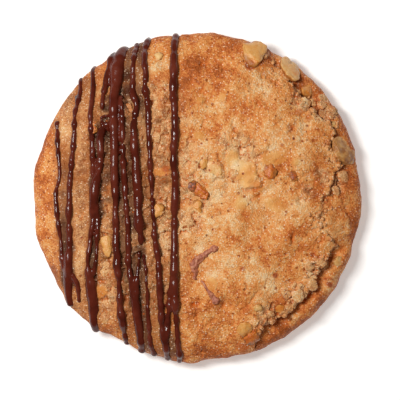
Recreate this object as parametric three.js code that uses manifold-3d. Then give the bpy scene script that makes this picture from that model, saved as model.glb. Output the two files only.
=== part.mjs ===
// A thick round nut cookie, striped with dark chocolate down its left half.
//
// The cookie is one baked piece: a domed crust with a broken edge, chopped nuts sunk into
// its top, and strands of chocolate that set where they fell.  All of it is fused into one
// solid.  Units are millimetres, +Z is up, and the origin is the middle of the flat
// underside.

import * as THREE from 'three';
import { mergeVertices } from 'three/addons/utils/BufferGeometryUtils.js';
import Module from 'manifold-3d';

// ---------------------------------------------------------------- driving dimensions

const RADIUS = 37.4;            // of the baked edge at its widest, before the bulges below
const CROWN_HEIGHT = 13.4;      // underside to the top of the dome
const WAIST_HEIGHT = 4.4;       // where the side stands out furthest
const FOOT_INSET = 2.4;         // how far the side curls in from the waist to the underside
const DOME_FLATNESS = 3.0;      // exponents of the dome's curve: flatter in the middle,
const SHOULDER_ROUNDNESS = 1.9; // rounder at the shoulder

const GRID_STEPS = 36;          // squares along each side of the crust's net
const CUT_GRID_STEPS = 18;      // the same for the plain body that shapes the ledge

// Bulges and dips of the edge: direction in degrees from +X, half width, rise.
const EDGE_BULGES = [
  [220, 11, 0.75], [241, 8, -0.5], [262, 7, 0.3], [284, 8, -0.35],
  [118, 24, 0.3], [315, 24, 0.25], [10, 10, -0.2], [170, 20, -0.1],
];

// Broad waves of the crust: wavelength, direction in degrees, phase in degrees, height.
const CRUST_WAVES = [
  [19, 20, 40, 0.22], [15, 75, 200, 0.20], [12.5, 130, 310, 0.17],
  [10.5, 160, 95, 0.13], [9, 50, 250, 0.11], [8.2, 105, 15, 0.09],
];

// Soft hollows and swellings of the crust: x, y, radius, rise.
const CRUST_DENTS = [
  [-15.9, 27.5, 3.2, -0.9], [-16.2, 23.0, 2.4, -0.8], [26.5, -8.0, 4.0, -0.4],
  [8.0, 22.0, 9.0, 0.35], [10.0, -12.0, 8.0, 0.3], [0.2, -23.6, 2.4, -0.6],
  [6.5, -25.0, 2.2, -0.5], [20.5, 13.0, 5.0, 0.35],
];

// Where the top layer of crust broke away down the right side, it left a lower ledge.
const LEDGE_DROP = 1.3;
const LEDGE_SPREAD = 1.02;      // the ledge swells outwards by this, so it runs out at the rim
// The edge of that layer: direction in degrees and distance from the middle.
const FLAKE_EDGE = [
  [68, 38.6], [60, 35.4], [52, 34.2], [45, 33.1], [39, 33.6], [34, 34.3], [30, 34.2],
  [26, 35.0], [22, 33.0], [19, 33.9], [13, 34.2], [10, 32.2], [6, 31.2], [4, 31.9],
  [0, 29.3], [-6, 28.9], [-9, 27.2], [-13, 28.4], [-17, 29.8], [-20, 30.2], [-23, 33.8],
  [-28, 33.5], [-32, 32.9], [-36, 33.9], [-43, 33.5], [-50, 34.0], [-57, 33.2], [-63, 33.2],
  [-67, 34.6], [-70, 38.6],
];
const FLAKE_EDGE_STEPS = 60;    // straight pieces that the edge is drawn with

// The crack along the foot of the broken edge at the lower right, inside the rounded lip.
const CRACK = { from: -21, to: -67, radius: 34.1, width: 1.4, depth: 2.4, wander: 0.3 };

// Chocolate strands from left to right: [x, y, width] along each one.  `over` is how far
// the first and the last end run on past their point, over the rim and down the side.
const STRAND_RISE = 0.5;        // height of a strand, as a share of its width
const STRAND_ROOT = 0.45;       // how deep its foot is sunk in the crust
const STRAND_STEP = 3.4;        // distance between its sections
const STRANDS = [
  { over: [0, 0], route: [[-32.1, 17.6, 0.9], [-31.9, 11.5, 1.0], [-31.3, 5.8, 0.7],
    [-32.1, 1.7, 0.8], [-31.9, -2.8, 1.0], [-31.1, -10.4, 0.8], [-30.5, -14.7, 1.0],
    [-29.4, -18.8, 1.4]] },
  { over: [0.6, 0], route: [[-26.4, 26.8, 0.8], [-26.7, 23.4, 1.0], [-27.8, 19.5, 1.1],
    [-28.1, 13.0, 1.1], [-28.8, 6.0, 1.0], [-29.2, 0.0, 1.0], [-29.0, -14.7, 1.4],
    [-29.4, -19.0, 1.9], [-29.2, -22.0, 1.6], [-28.5, -24.6, 1.2]] },
  { over: [0, 0], route: [[-28.6, -18.6, 0.9], [-27.7, -21.0, 0.7], [-27.1, -23.6, 0.7]] },
  { over: [0.8, 0], route: [[-23.5, 29.5, 0.9], [-24.1, 25.2, 1.0], [-24.5, 19.5, 1.0],
    [-24.3, 12.4, 1.1], [-23.8, 6.0, 1.1], [-23.3, 1.7, 1.2]] },
  { over: [1.0, 0], route: [[-19.3, 33.0, 1.1], [-20.3, 29.5, 1.0], [-21.2, 25.9, 0.9],
    [-21.8, 20.0, 0.8]] },
  { over: [0, 1.2], route: [[-21.7, 18.2, 1.1], [-21.8, 16.4, 1.6], [-22.1, 13.4, 1.3],
    [-22.1, 9.7, 1.2], [-22.8, 5.6, 1.3], [-23.3, 1.7, 2.0], [-23.5, -1.2, 1.7],
    [-24.2, -7.0, 1.2], [-24.8, -13.0, 1.1], [-25.2, -19.0, 1.1], [-24.4, -22.4, 2.3],
    [-23.7, -25.6, 2.1], [-22.9, -29.2, 1.4]] },
  { over: [0, 0], route: [[-23.2, -1.0, 1.1], [-22.9, -7.0, 0.9], [-23.1, -13.1, 0.9],
    [-23.8, -18.0, 1.1], [-24.8, -20.4, 1.1]] },
  { over: [0, 0], route: [[-21.5, 17.4, 0.8], [-20.4, 18.4, 0.7], [-19.2, 18.2, 0.8]] },
  { over: [1.8, 1.6], route: [[-17.3, 34.0, 1.9], [-18.1, 31.6, 2.5], [-18.8, 28.8, 2.6],
    [-19.3, 24.1, 1.9], [-19.4, 17.7, 1.7], [-19.0, 8.5, 1.6], [-18.6, 1.7, 1.3],
    [-18.7, -2.4, 1.1], [-18.5, -10.8, 1.2], [-18.0, -18.1, 1.8], [-17.7, -23.8, 1.6],
    [-17.1, -28.8, 1.6], [-16.3, -32.8, 1.3]] },
  { over: [0, 2.4], route: [[-18.2, 25.9, 1.0], [-17.4, 18.1, 1.1], [-17.5, 12.0, 1.2],
    [-17.2, 4.9, 1.1], [-16.5, -1.0, 0.9], [-15.8, -8.8, 1.1], [-15.4, -16.5, 1.2],
    [-14.6, -22.0, 1.5], [-13.9, -25.2, 2.3], [-13.2, -30.2, 2.3], [-12.3, -33.8, 1.7]] },
  { over: [1.4, 0], route: [[-14.0, 34.8, 0.9], [-14.6, 32.3, 1.2], [-14.7, 26.3, 1.2],
    [-14.2, 22.3, 1.2], [-14.3, 17.2, 1.3], [-14.2, 11.3, 1.6], [-13.7, 4.5, 1.6],
    [-14.0, -1.9, 1.4], [-13.3, -5.1, 2.0], [-13.2, -7.6, 1.0], [-12.9, -9.6, 1.1]] },
  { over: [0, 0], route: [[-13.4, -12.4, 0.7], [-13.7, -15.6, 1.1], [-13.8, -19.8, 1.1],
    [-14.0, -23.4, 1.5]] },
  { over: [2.2, 3.0], route: [[-11.4, 35.6, 1.1], [-12.0, 33.6, 1.2], [-11.6, 27.6, 1.1],
    [-11.3, 22.1, 1.1], [-11.1, 16.0, 1.1], [-10.9, 9.8, 0.9], [-10.3, 1.6, 0.9],
    [-9.9, -6.0, 0.9], [-9.1, -13.3, 1.1], [-8.5, -22.4, 1.2], [-8.0, -29.6, 1.1],
    [-7.2, -33.0, 1.5], [-6.9, -35.6, 1.2]] },
  { over: [0, 2.2], route: [[-12.2, -12.8, 0.7], [-11.6, -18.2, 0.8], [-11.3, -25.0, 1.1],
    [-10.7, -32.2, 1.1], [-10.0, -35.0, 1.0]] },
  { over: [3.0, 3.2], route: [[-5.1, 36.2, 1.3], [-5.3, 32.0, 1.4], [-5.4, 22.2, 1.4],
    [-5.0, 14.2, 1.5], [-5.4, 10.0, 1.2], [-5.1, 2.6, 1.4], [-5.3, -6.3, 1.3],
    [-5.3, -14.7, 1.6], [-5.1, -22.7, 1.4], [-4.8, -28.4, 1.1], [-4.1, -35.6, 1.3]] },
  { over: [0, 0], route: [[-5.6, -17.6, 1.0], [-6.4, -22.0, 0.9], [-6.5, -27.0, 0.9],
    [-7.0, -32.0, 1.1]] },
];

// Chopped nuts: x, y, length, width, turn of the length in degrees from +X, and how far
// the piece stands out of the crust.
const NUTS = [
  [12.0, 33.0, 5.0, 4.0, 75, 1.3], [19.9, 29.3, 5.8, 3.2, -55, 1.4],
  [24.3, 25.2, 3.0, 2.3, -60, 1.1], [22.0, 23.9, 3.8, 3.4, 20, 1.0],
  [26.2, 22.0, 2.8, 2.4, -50, 0.9], [28.7, 21.9, 2.3, 2.0, -40, 0.8],
  [-8.5, 31.2, 2.6, 2.2, 0, 0.4], [-8.9, -3.0, 3.7, 3.0, 80, 0.9],
  [-20.7, -11.3, 5.4, 2.7, 88, 1.0], [-20.9, -16.6, 3.2, 2.6, 70, 0.9],
  [3.5, 6.2, 5.0, 4.4, 30, 0.9], [0.7, 1.6, 3.9, 3.2, 60, 1.2],
  [-0.5, -2.2, 3.4, 2.8, 70, 0.8], [9.6, -1.4, 3.4, 2.8, 60, 0.8],
  [11.6, 4.6, 5.8, 4.6, 10, 1.0], [17.8, -1.2, 4.6, 3.3, 15, 0.7],
  [16.4, 5.8, 2.8, 2.2, 10, 0.6], [21.6, 4.8, 2.4, 1.9, 0, 0.6],
  [7.3, -7.2, 2.6, 2.2, 30, 0.6], [10.6, -30.0, 3.6, 3.2, 60, 1.2],
  [12.9, -31.3, 3.5, 2.9, 80, 1.1], [4.1, -23.6, 2.4, 1.8, -30, 0.5],
];

// Crumbs of crust standing along the broken edge, in the same form.
const CRUMBS = [
  [23.0, -22.3, 2.8, 2.3, 85, 1.1], [18.8, -25.4, 2.1, 1.9, 20, 0.9],
  [13.9, -25.0, 2.4, 1.9, 15, 0.8], [22.6, -25.3, 2.3, 1.7, 75, 0.8],
  [17.0, -27.9, 2.0, 1.5, 20, 0.8], [15.1, -27.0, 2.0, 1.8, 0, 0.8],
  [12.9, -28.4, 1.9, 1.5, 50, 0.7], [26.1, -19.7, 2.9, 2.2, 70, 1.0],
  [27.8, -14.6, 2.6, 2.2, 60, 0.8], [25.4, -16.4, 2.3, 1.9, 20, 0.7],
  [32.3, -14.6, 3.1, 2.5, -50, 0.8], [21.2, -18.4, 2.4, 1.8, 40, 0.6],
  [-5.1, -13.2, 1.6, 1.2, 10, 1.2],
];

// The half kernel sunk in the right shoulder.
const KERNEL = { at: [33.4, 10.6], length: 6.4, width: 3.6, turn: -70, stand: 1.0 };

// Sheet of bran-brown nut skin that curls on the crust: [x, y, width] along it.
const SKIN = {
  over: [0, 0],
  route: [[5.0, -11.4, 0.9], [3.0, -12.7, 1.1], [0.9, -14.0, 1.0], [-0.8, -15.7, 0.9],
    [-0.5, -17.3, 0.7]],
};

const CHUNK_SEED = 7;           // for the uneven corners of nuts and crumbs
const CHUNK_SWAY = 0.16;        // how far a corner strays, as a share of the half size

// ---------------------------------------------------------------- small helpers

const { degToRad, seededRandom, smoothstep } = THREE.MathUtils;

/** A hump of height 1 at 0 that falls smoothly to 0 at distance 2. */
const hump = (distance) => Math.exp(-2 * distance * distance);

/** The smallest difference between two directions, in degrees. */
function turnBetween(a, b) {
  const difference = Math.abs(a - b) % 360;
  return Math.min(difference, 360 - difference);
}

/** A value read off a list of [direction, value] pairs, in falling order of direction. */
function readAround(pairs, degrees) {
  const next = pairs.findIndex(([direction]) => direction <= degrees);
  const [high, low] = [pairs[next - 1], pairs[next]];
  return THREE.MathUtils.mapLinear(degrees, high[0], low[0], high[1], low[1]);
}

// ---------------------------------------------------------------- the crust's form

/** Radius of the widest edge in the direction `angle`, in radians. */
function edgeRadius(angle) {
  const degrees = THREE.MathUtils.euclideanModulo(THREE.MathUtils.radToDeg(angle), 360);
  return EDGE_BULGES.reduce(
    (radius, [direction, halfWidth, rise]) =>
      radius + rise * hump(turnBetween(degrees, direction) / halfWidth),
    RADIUS,
  );
}

/** Half of the cookie's section, from the crown over the waist to the foot: x is the
 *  share of the edge radius, y the height. */
function makeSection() {
  const points = [];
  const domeSteps = 60;
  for (let i = 0; i <= domeSteps; i += 1) {
    const turn = (i / domeSteps) * (Math.PI / 2);
    const share = Math.sin(turn) ** (2 / DOME_FLATNESS);
    const rise = Math.abs(Math.cos(turn)) ** (2 / SHOULDER_ROUNDNESS);
    points.push(new THREE.Vector2(
      share * RADIUS, WAIST_HEIGHT + (CROWN_HEIGHT - WAIST_HEIGHT) * rise,
    ));
  }
  const footSteps = 12;
  for (let i = 1; i <= footSteps; i += 1) {
    const drop = i / footSteps;
    points.push(new THREE.Vector2(
      RADIUS - FOOT_INSET * drop ** 2.5, WAIST_HEIGHT * (1 - drop),
    ));
  }
  const path = new THREE.CurvePath();
  for (let i = 1; i < points.length; i += 1) {
    path.add(new THREE.LineCurve(points[i - 1], points[i]));
  }
  return path;
}

const SECTION = makeSection();
const SECTION_LENGTH = SECTION.getLength();

/** The top and side are worked on as if rolled out flat: a point of that flat disc is as
 *  far from its middle as the crust is from the crown, measured along the crust. */
function rolledOut(x, y) {
  const target = RADIUS * Math.hypot(x, y) / edgeRadius(Math.atan2(y, x));
  let [near, far] = [0, 1];
  while (SECTION.getPointAt(far).y < WAIST_HEIGHT) far -= 0.005;
  for (let i = 0; i < 24; i += 1) {
    const middle = (near + far) / 2;
    if (SECTION.getPointAt(middle).x < target) near = middle;
    else far = middle;
  }
  return new THREE.Vector2(x, y).setLength(near * SECTION_LENGTH);
}

/** Height of the broad waves and dents over the plain section, at a rolled-out point. */
function relief(flat) {
  const waves = CRUST_WAVES.reduce((sum, [wavelength, direction, phase, height]) => {
    const angle = degToRad(direction);
    const along = flat.x * Math.cos(angle) + flat.y * Math.sin(angle);
    return sum + height * Math.sin((2 * Math.PI * along) / wavelength + degToRad(phase));
  }, 0);
  const dents = CRUST_DENTS.reduce(
    (sum, [x, y, radius, rise]) => sum + rise * hump(Math.hypot(flat.x - x, flat.y - y) / radius),
    0,
  );
  const distance = flat.length() / SECTION_LENGTH;
  return (waves + dents) * (1 - smoothstep(distance, 0.82, 0.96));
}

/** The crust's surface at a rolled-out point: its place and its outward direction. */
function crustAt(flat) {
  const share = Math.min(flat.length() / SECTION_LENGTH, 1);
  const angle = Math.atan2(flat.y, flat.x);
  const section = SECTION.getPointAt(share);
  const along = SECTION.getTangentAt(share);
  const radius = section.x * edgeRadius(angle) / RADIUS;
  const [cos, sin] = [Math.cos(angle), Math.sin(angle)];
  const normal = new THREE.Vector3(-along.y * cos, -along.y * sin, along.x);
  const place = new THREE.Vector3(radius * cos, radius * sin, section.y);
  return { place: place.addScaledVector(normal, relief(flat)), normal };
}

/** The plain body: a square net drawn round to a disc, laid over dome and side, and
 *  closed by the flat underside. */
function makeCrust(steps) {
  const net = new THREE.PlaneGeometry(2, 2, steps, steps);
  const position = net.attributes.position;
  for (let i = 0; i < position.count; i += 1) {
    const [u, v] = [position.getX(i), position.getY(i)];
    const ring = Math.max(Math.abs(u), Math.abs(v));
    const quarter = Math.PI / 4;
    let angle = 0;
    if (ring > 0) {
      if (Math.abs(u) >= Math.abs(v)) angle = quarter * (v / u) + (u < 0 ? Math.PI : 0);
      else angle = 2 * quarter - quarter * (u / v) + (v < 0 ? Math.PI : 0);
    }
    const flat = new THREE.Vector2(Math.cos(angle), Math.sin(angle))
      .multiplyScalar(ring * SECTION_LENGTH);
    const { place } = crustAt(flat);
    position.setXYZ(i, place.x, place.y, ring === 1 ? 0 : place.z);
  }
  return closeUnderside(net, steps);
}

/** Adds a fan from the middle of the underside to the net's edge. */
function closeUnderside(net, steps) {
  const position = net.attributes.position;
  const row = steps + 1;
  const edge = [];
  for (let i = 0; i < steps; i += 1) edge.push(i);
  for (let i = 0; i < steps; i += 1) edge.push(i * row + steps);
  for (let i = steps; i > 0; i -= 1) edge.push(steps * row + i);
  for (let i = steps; i > 0; i -= 1) edge.push(i * row);
  const middle = position.count;
  const fan = edge.flatMap((corner, i) => [middle, corner, edge[(i + 1) % edge.length]]);
  const closed = new THREE.BufferGeometry();
  const places = new Float32Array(position.array.length + 3);
  places.set(position.array);
  closed.setAttribute('position', new THREE.BufferAttribute(places, 3));
  closed.setIndex([...net.index.array, ...fan]);
  return closed;
}

// ---------------------------------------------------------------- swept pieces

/** The places of a strand's sections: rolled-out point and width, evenly spaced. */
function strandSections({ route, over }) {
  const points = route.map(([x, y, width]) => {
    const flat = rolledOut(x, y);
    return new THREE.Vector3(flat.x, flat.y, width);
  });
  const extend = (end, inner, distance) => {
    if (distance === 0) return [];
    const outward = new THREE.Vector3(end.x, end.y, 0).normalize();
    const straight = new THREE.Vector3(end.x - inner.x, end.y - inner.y, 0).normalize();
    return [end.clone().addScaledVector(outward.add(straight).normalize(), distance)];
  };
  const last = points.length - 1;
  const whole = [
    ...extend(points[0], points[1], over[0]),
    ...points,
    ...extend(points[last], points[last - 1], over[1]),
  ];
  const curve = new THREE.CatmullRomCurve3(whole, false, 'centripetal');
  return curve.getSpacedPoints(Math.max(3, Math.round(curve.getLength() / STRAND_STEP)));
}

/** A closed strip swept over the crust.  `section` gives the corners of its section as
 *  [across, out] for a width, anticlockwise as seen from behind. */
function sweepOnCrust(strip, section) {
  const sections = strandSections(strip);
  const corners = section(1).length;
  const places = [];
  const addRing = (flat, width, tangent) => {
    const { place, normal } = crustAt(flat);
    const across = tangent.clone().cross(normal).normalize();
    for (const [side, out] of section(width)) {
      const corner = place.clone().addScaledVector(across, side).addScaledVector(normal, out);
      places.push(corner.x, corner.y, corner.z);
    }
  };
  const last = sections.length - 1;
  sections.forEach((point, i) => {
    const flat = new THREE.Vector2(point.x, point.y);
    const before = sections[Math.max(i - 1, 0)];
    const after = sections[Math.min(i + 1, last)];
    const from = crustAt(new THREE.Vector2(before.x, before.y)).place;
    const to = crustAt(new THREE.Vector2(after.x, after.y)).place;
    const tangent = to.sub(from).normalize();
    const isEnd = i === 0 || i === last;
    addRing(flat, isEnd ? point.z * 0.55 : point.z, tangent);
  });
  const faces = [];
  for (let ring = 0; ring < last; ring += 1) {
    for (let i = 0; i < corners; i += 1) {
      const next = (i + 1) % corners;
      const [a, b] = [ring * corners + i, ring * corners + next];
      faces.push(a, b, b + corners, a, b + corners, a + corners);
    }
  }
  for (let i = 1; i < corners - 1; i += 1) {
    const far = last * corners;
    faces.push(0, i + 1, i, far, far + i, far + i + 1);
  }
  const geometry = new THREE.BufferGeometry();
  geometry.setAttribute('position', new THREE.Float32BufferAttribute(places, 3));
  geometry.setIndex(faces);
  return geometry;
}

/** Section of a set strand: sunk foot, round back. */
const strandSection = (width) => {
  const rise = width * STRAND_RISE;
  return [
    [-0.5 * width, -STRAND_ROOT], [-0.44 * width, 0.55 * rise], [0, rise],
    [0.44 * width, 0.55 * rise], [0.5 * width, -STRAND_ROOT],
  ];
};

/** Section of the curl of nut skin: low and flat. */
const skinSection = (width) => [
  [-0.5 * width, -STRAND_ROOT], [-0.4 * width, 0.28], [0.4 * width, 0.28],
  [0.5 * width, -STRAND_ROOT],
];

/** Section of the crack: a notch that undercuts the inner edge. */
const crackSection = (width) => [
  [-0.35 * width, -CRACK.depth], [-0.6 * width, 1.2], [0.5 * width, 1.2],
  [0.45 * width, -0.6 * CRACK.depth],
];

/** The route of the crack, wandering in and out along its arc. */
function crackStrip() {
  const bends = 12;
  const route = [];
  for (let i = 0; i <= bends; i += 1) {
    const angle = degToRad(THREE.MathUtils.mapLinear(i, 0, bends, CRACK.from, CRACK.to));
    const radius = CRACK.radius + CRACK.wander * Math.sin(i * 2.1);
    const taper = Math.min(1, 0.35 + 0.35 * Math.min(i, bends - i));
    route.push([radius * Math.cos(angle), radius * Math.sin(angle), CRACK.width * taper]);
  }
  return { over: [0, 0], route };
}

// ---------------------------------------------------------------- nuts and crumbs

/** How far the flaked ledge lies below the whole crust at a point: it runs out at the rim. */
function ledgeDepth(x, y) {
  const degrees = THREE.MathUtils.radToDeg(Math.atan2(y, x));
  const [first, last] = [FLAKE_EDGE[0][0], FLAKE_EDGE[FLAKE_EDGE.length - 1][0]];
  const distance = Math.hypot(x, y);
  if (degrees >= first || degrees <= last || distance < readAround(FLAKE_EDGE, degrees)) return 0;
  return LEDGE_DROP * (1 - smoothstep(distance, RADIUS - 4, RADIUS));
}

/** An uneven chunk of about twenty to forty faces, standing out of the crust. */
function makeChunk([x, y, length, width, turn, stand], shape) {
  const { place, normal } = crustAt(rolledOut(x, y));
  place.addScaledVector(normal, -ledgeDepth(x, y));
  const chunk = mergeCorners(shape.clone());
  const corners = chunk.attributes.position;
  for (let i = 0; i < corners.count; i += 1) {
    const sway = () => 1 + CHUNK_SWAY * (2 * seededRandom() - 1);
    corners.setXYZ(i, corners.getX(i) * sway(), corners.getY(i) * sway(), corners.getZ(i) * sway());
  }
  const depth = 0.8;
  const halfHeight = (stand + depth) / 2;
  const upright = new THREE.Quaternion().setFromUnitVectors(new THREE.Vector3(0, 0, 1), normal);
  const turned = new THREE.Quaternion().setFromAxisAngle(new THREE.Vector3(0, 0, 1), degToRad(turn));
  const centre = place.addScaledVector(normal, stand - halfHeight);
  const size = new THREE.Vector3(length / 2, width / 2, halfHeight);
  chunk.applyMatrix4(new THREE.Matrix4().compose(centre, upright.multiply(turned), size));
  return chunk;
}

/** The half kernel: two lobes side by side along the shoulder. */
function makeKernel({ at, length, width, turn, stand }) {
  const lobe = new THREE.DodecahedronGeometry(1, 0);
  const across = degToRad(turn + 90);
  return [-1, 1].map((side) => {
    const x = at[0] + side * 0.24 * width * Math.cos(across);
    const y = at[1] + side * 0.24 * width * Math.sin(across);
    return makeChunk([x, y, length * (side > 0 ? 1 : 0.86), width * 0.62, turn, stand], lobe);
  });
}

// ---------------------------------------------------------------- joining it all

const wasm = await Module();
wasm.setup();

/** The same geometry with its shared corners merged. */
function mergeCorners(geometry) {
  geometry.deleteAttribute('normal');
  geometry.deleteAttribute('uv');
  return mergeVertices(geometry, 1e-4);
}

/** A closed geometry as a solid that can be joined and cut. */
function toSolid(geometry) {
  const merged = mergeCorners(geometry);
  return new wasm.Manifold(new wasm.Mesh({
    numProp: 3,
    vertProperties: new Float32Array(merged.attributes.position.array),
    triVerts: new Uint32Array(merged.index.array),
  }));
}

/** A joined solid back as a geometry. */
function toGeometry(solid) {
  const mesh = solid.getMesh();
  const geometry = new THREE.BufferGeometry();
  geometry.setAttribute('position', new THREE.BufferAttribute(mesh.vertProperties, 3));
  geometry.setIndex(new THREE.BufferAttribute(mesh.triVerts, 1));
  geometry.computeVertexNormals();
  return geometry;
}

/** A block over the flaked part of the top, with the ragged flake edge as its inner side. */
function makeFlakeBlock() {
  const outside = 48;
  const outline = new THREE.Shape();
  const [first, last] = [FLAKE_EDGE[0][0], FLAKE_EDGE[FLAKE_EDGE.length - 1][0]];
  for (let i = 0; i <= FLAKE_EDGE_STEPS; i += 1) {
    const degrees = THREE.MathUtils.mapLinear(i, 0, FLAKE_EDGE_STEPS, first, last);
    const radius = readAround(FLAKE_EDGE, Math.min(degrees, first - 1e-6));
    const angle = degToRad(degrees);
    outline[i ? 'lineTo' : 'moveTo'](radius * Math.cos(angle), radius * Math.sin(angle));
  }
  outline.absarc(0, 0, outside, degToRad(last), degToRad(first), false);
  const block = new THREE.ExtrudeGeometry(outline, {
    depth: CROWN_HEIGHT, bevelEnabled: false, curveSegments: 12,
  });
  return block.translate(0, 0, WAIST_HEIGHT);
}

/** The crust with its flaked ledge and its crack cut in. */
function makeBrokenCrust() {
  const lowered = makeCrust(CUT_GRID_STEPS)
    .scale(LEDGE_SPREAD, LEDGE_SPREAD, 1)
    .translate(0, 0, -LEDGE_DROP);
  const flaked = toSolid(makeFlakeBlock()).subtract(toSolid(lowered));
  const crack = toSolid(sweepOnCrust(crackStrip(), crackSection));
  return toSolid(makeCrust(GRID_STEPS)).subtract(flaked).subtract(crack);
}

function makeCookie() {
  seededRandom(CHUNK_SEED);
  const nutShape = new THREE.DodecahedronGeometry(1, 0);
  const crumbShape = new THREE.IcosahedronGeometry(1, 0);
  const toppings = [
    ...STRANDS.map((strand) => sweepOnCrust(strand, strandSection)),
    sweepOnCrust(SKIN, skinSection),
    ...NUTS.map((nut) => makeChunk(nut, nutShape)),
    ...CRUMBS.map((crumb) => makeChunk(crumb, crumbShape)),
    ...makeKernel(KERNEL),
  ];
  const joined = toppings.reduce(
    (solid, topping) => solid.add(toSolid(topping)),
    makeBrokenCrust(),
  );
  return toGeometry(joined);
}

const bakedCrust = new THREE.MeshStandardMaterial({
  color: 0xcf9058, roughness: 0.85, metalness: 0, flatShading: true,
});

const cookie = new THREE.Mesh(makeCookie(), bakedCrust);
cookie.name = 'cookie';

const model = new THREE.Group();
model.add(cookie);

export default model;
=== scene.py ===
"""A thick round nut cookie, striped with dark chocolate down its left half.

The file is laid out as an add-on: each piece of the cookie is made by an operator, the sizes
and colours that can be changed are properties of the scene, and a panel in the 3D view's
sidebar lists them.  Run as a script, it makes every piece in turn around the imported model.
"""

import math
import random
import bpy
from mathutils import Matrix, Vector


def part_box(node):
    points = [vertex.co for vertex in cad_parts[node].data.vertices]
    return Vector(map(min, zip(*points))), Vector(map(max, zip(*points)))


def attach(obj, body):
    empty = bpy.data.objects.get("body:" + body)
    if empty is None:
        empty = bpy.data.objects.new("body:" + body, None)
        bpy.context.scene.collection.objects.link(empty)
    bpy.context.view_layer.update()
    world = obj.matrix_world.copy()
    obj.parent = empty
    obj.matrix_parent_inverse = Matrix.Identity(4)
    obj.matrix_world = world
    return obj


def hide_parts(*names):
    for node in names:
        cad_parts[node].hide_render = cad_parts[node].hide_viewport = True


bl_info = {
    "name": "Striped Nut Cookie",
    "version": (1, 0, 0),
    "blender": (4, 5, 0),
    "location": "3D View > Sidebar > Cookie",
    "description": "Makes a baked nut cookie with chocolate stripes, and its studio",
    "category": "Add Mesh",
}

import bmesh
import bpy
import numpy as np
from bpy.props import FloatProperty, FloatVectorProperty, IntProperty, PointerProperty
from mathutils import Matrix, Vector, noise
from mathutils.bvhtree import BVHTree

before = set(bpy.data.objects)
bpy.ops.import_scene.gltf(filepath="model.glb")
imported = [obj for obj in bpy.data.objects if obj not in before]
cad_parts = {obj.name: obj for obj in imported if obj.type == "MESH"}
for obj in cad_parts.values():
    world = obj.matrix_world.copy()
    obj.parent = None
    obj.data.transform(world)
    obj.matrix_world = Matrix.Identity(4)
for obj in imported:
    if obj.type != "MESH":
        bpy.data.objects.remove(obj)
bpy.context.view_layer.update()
COOKIE_LOW, COOKIE_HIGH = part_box("cookie")

MM = 0.001

# ------------------------------------------------------------------ sizes, in millimetres

RADIUS = (COOKIE_HIGH.x - COOKIE_LOW.x) / 2 / MM
CROWN_HEIGHT = 13.4
WAIST_HEIGHT = 4.4
FOOT_INSET = 2.4
DOME_FLATNESS = 3.0
SHOULDER_ROUNDNESS = 1.9
# No strand rises above this.
HIGHEST = COOKIE_HIGH.z / MM + 0.3

# Bulges and dips of the edge: direction in degrees from +X, half width, rise.
EDGE_BULGES = (
    (220, 11, 0.75), (241, 8, -0.5), (262, 7, 0.3), (284, 8, -0.35), (118, 24, 0.3),
    (315, 24, 0.25), (10, 10, -0.5), (170, 20, -0.1), (343, 6, -0.5), (216, 4, -0.4),
    (276, 8, -0.3),
)

# Broad waves of the crust: wavelength, direction in degrees, phase in degrees, height.
CRUST_WAVES = (
    (19, 20, 40, 0.22), (15, 75, 200, 0.20), (12.5, 130, 310, 0.17), (10.5, 160, 95, 0.13),
    (9, 50, 250, 0.11), (8.2, 105, 15, 0.09),
)

# Soft hollows and swellings of the crust: x, y, radius, rise.
CRUST_DENTS = (
    (-15.9, 27.5, 3.2, -0.9), (-16.2, 23.0, 2.4, -0.8), (26.5, -8.0, 4.0, -0.4),
    (8.0, 22.0, 9.0, 0.35), (10.0, -12.0, 8.0, 0.3), (0.2, -23.6, 2.4, -0.6),
    (6.5, -25.0, 2.2, -0.5), (20.5, 13.0, 5.0, 0.35),
)

# The ledge that the top layer of crust left where it broke away down the right side.  Its
# edge: direction in degrees, distance from the middle, and how far the ledge lies below.
LEDGE_DROP = 1.3
FLAKE_EDGE = (
    (68, 38.6, 1.3), (60, 35.4, 1.3), (52, 34.2, 1.3), (45, 33.1, 1.3), (39, 33.6, 1.3),
    (34.7, 33.9, 1.3), (32.3, 34.1, 1.3), (31.7, 34.7, 1.3), (28.4, 34.7, 1.3),
    (26.6, 34.9, 1.3), (25.2, 34.5, 1.3), (22.7, 33.4, 1.3), (20.7, 32.5, 1.3),
    (17.5, 33.4, 1.3), (14.2, 34.0, 1.3), (12.5, 33.9, 1.3), (10.4, 32.2, 1.3),
    (8.6, 31.4, 1.3), (6.4, 31.3, 1.3), (5.2, 30.8, 1.2), (3.2, 30.3, 1.1), (1.5, 29.5, 1.0),
    (-0.2, 28.9, 0.8), (-3, 28.5, 0.5), (-6, 28.9, 0.25), (-9, 28.0, 0.2), (-13, 28.9, 0.2),
    (-17, 31.5, 0.5), (-19, 34.0, 0.9), (-22, 33.4, 1.3), (-26, 32.5, 1.3), (-30, 32.9, 1.3),
    (-35, 32.8, 1.3), (-38, 33.4, 1.3), (-43, 33.6, 1.3), (-46, 33.0, 1.3), (-51, 34.0, 1.3),
    (-57, 33.0, 1.3), (-63, 33.0, 1.3), (-67, 34.6, 1.3), (-70, 38.6, 1.3),
)

# The crack along the foot of the broken edge at the lower right: direction in degrees,
# distance from the middle, width and depth.
FOOT_CRACK = (
    (-17, 36.2, 0.8, 0.0), (-20, 35.4, 1.2, 1.0), (-24, 34.2, 1.8, 1.5), (-30, 34.0, 2.1, 1.6),
    (-34, 34.1, 2.2, 1.6), (-38, 34.6, 1.6, 1.5), (-42, 34.6, 1.3, 1.5), (-46, 34.1, 1.4, 1.5),
    (-51, 34.7, 1.2, 1.4), (-57, 34.0, 1.3, 1.4), (-63, 33.9, 1.0, 1.1), (-67, 34.6, 0.7, 0.0),
)
# The rounded lip outside the crack.
LIP_RADIUS = 36.0
LIP_WIDTH = 0.9
LIP_RISE = 0.35

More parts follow.
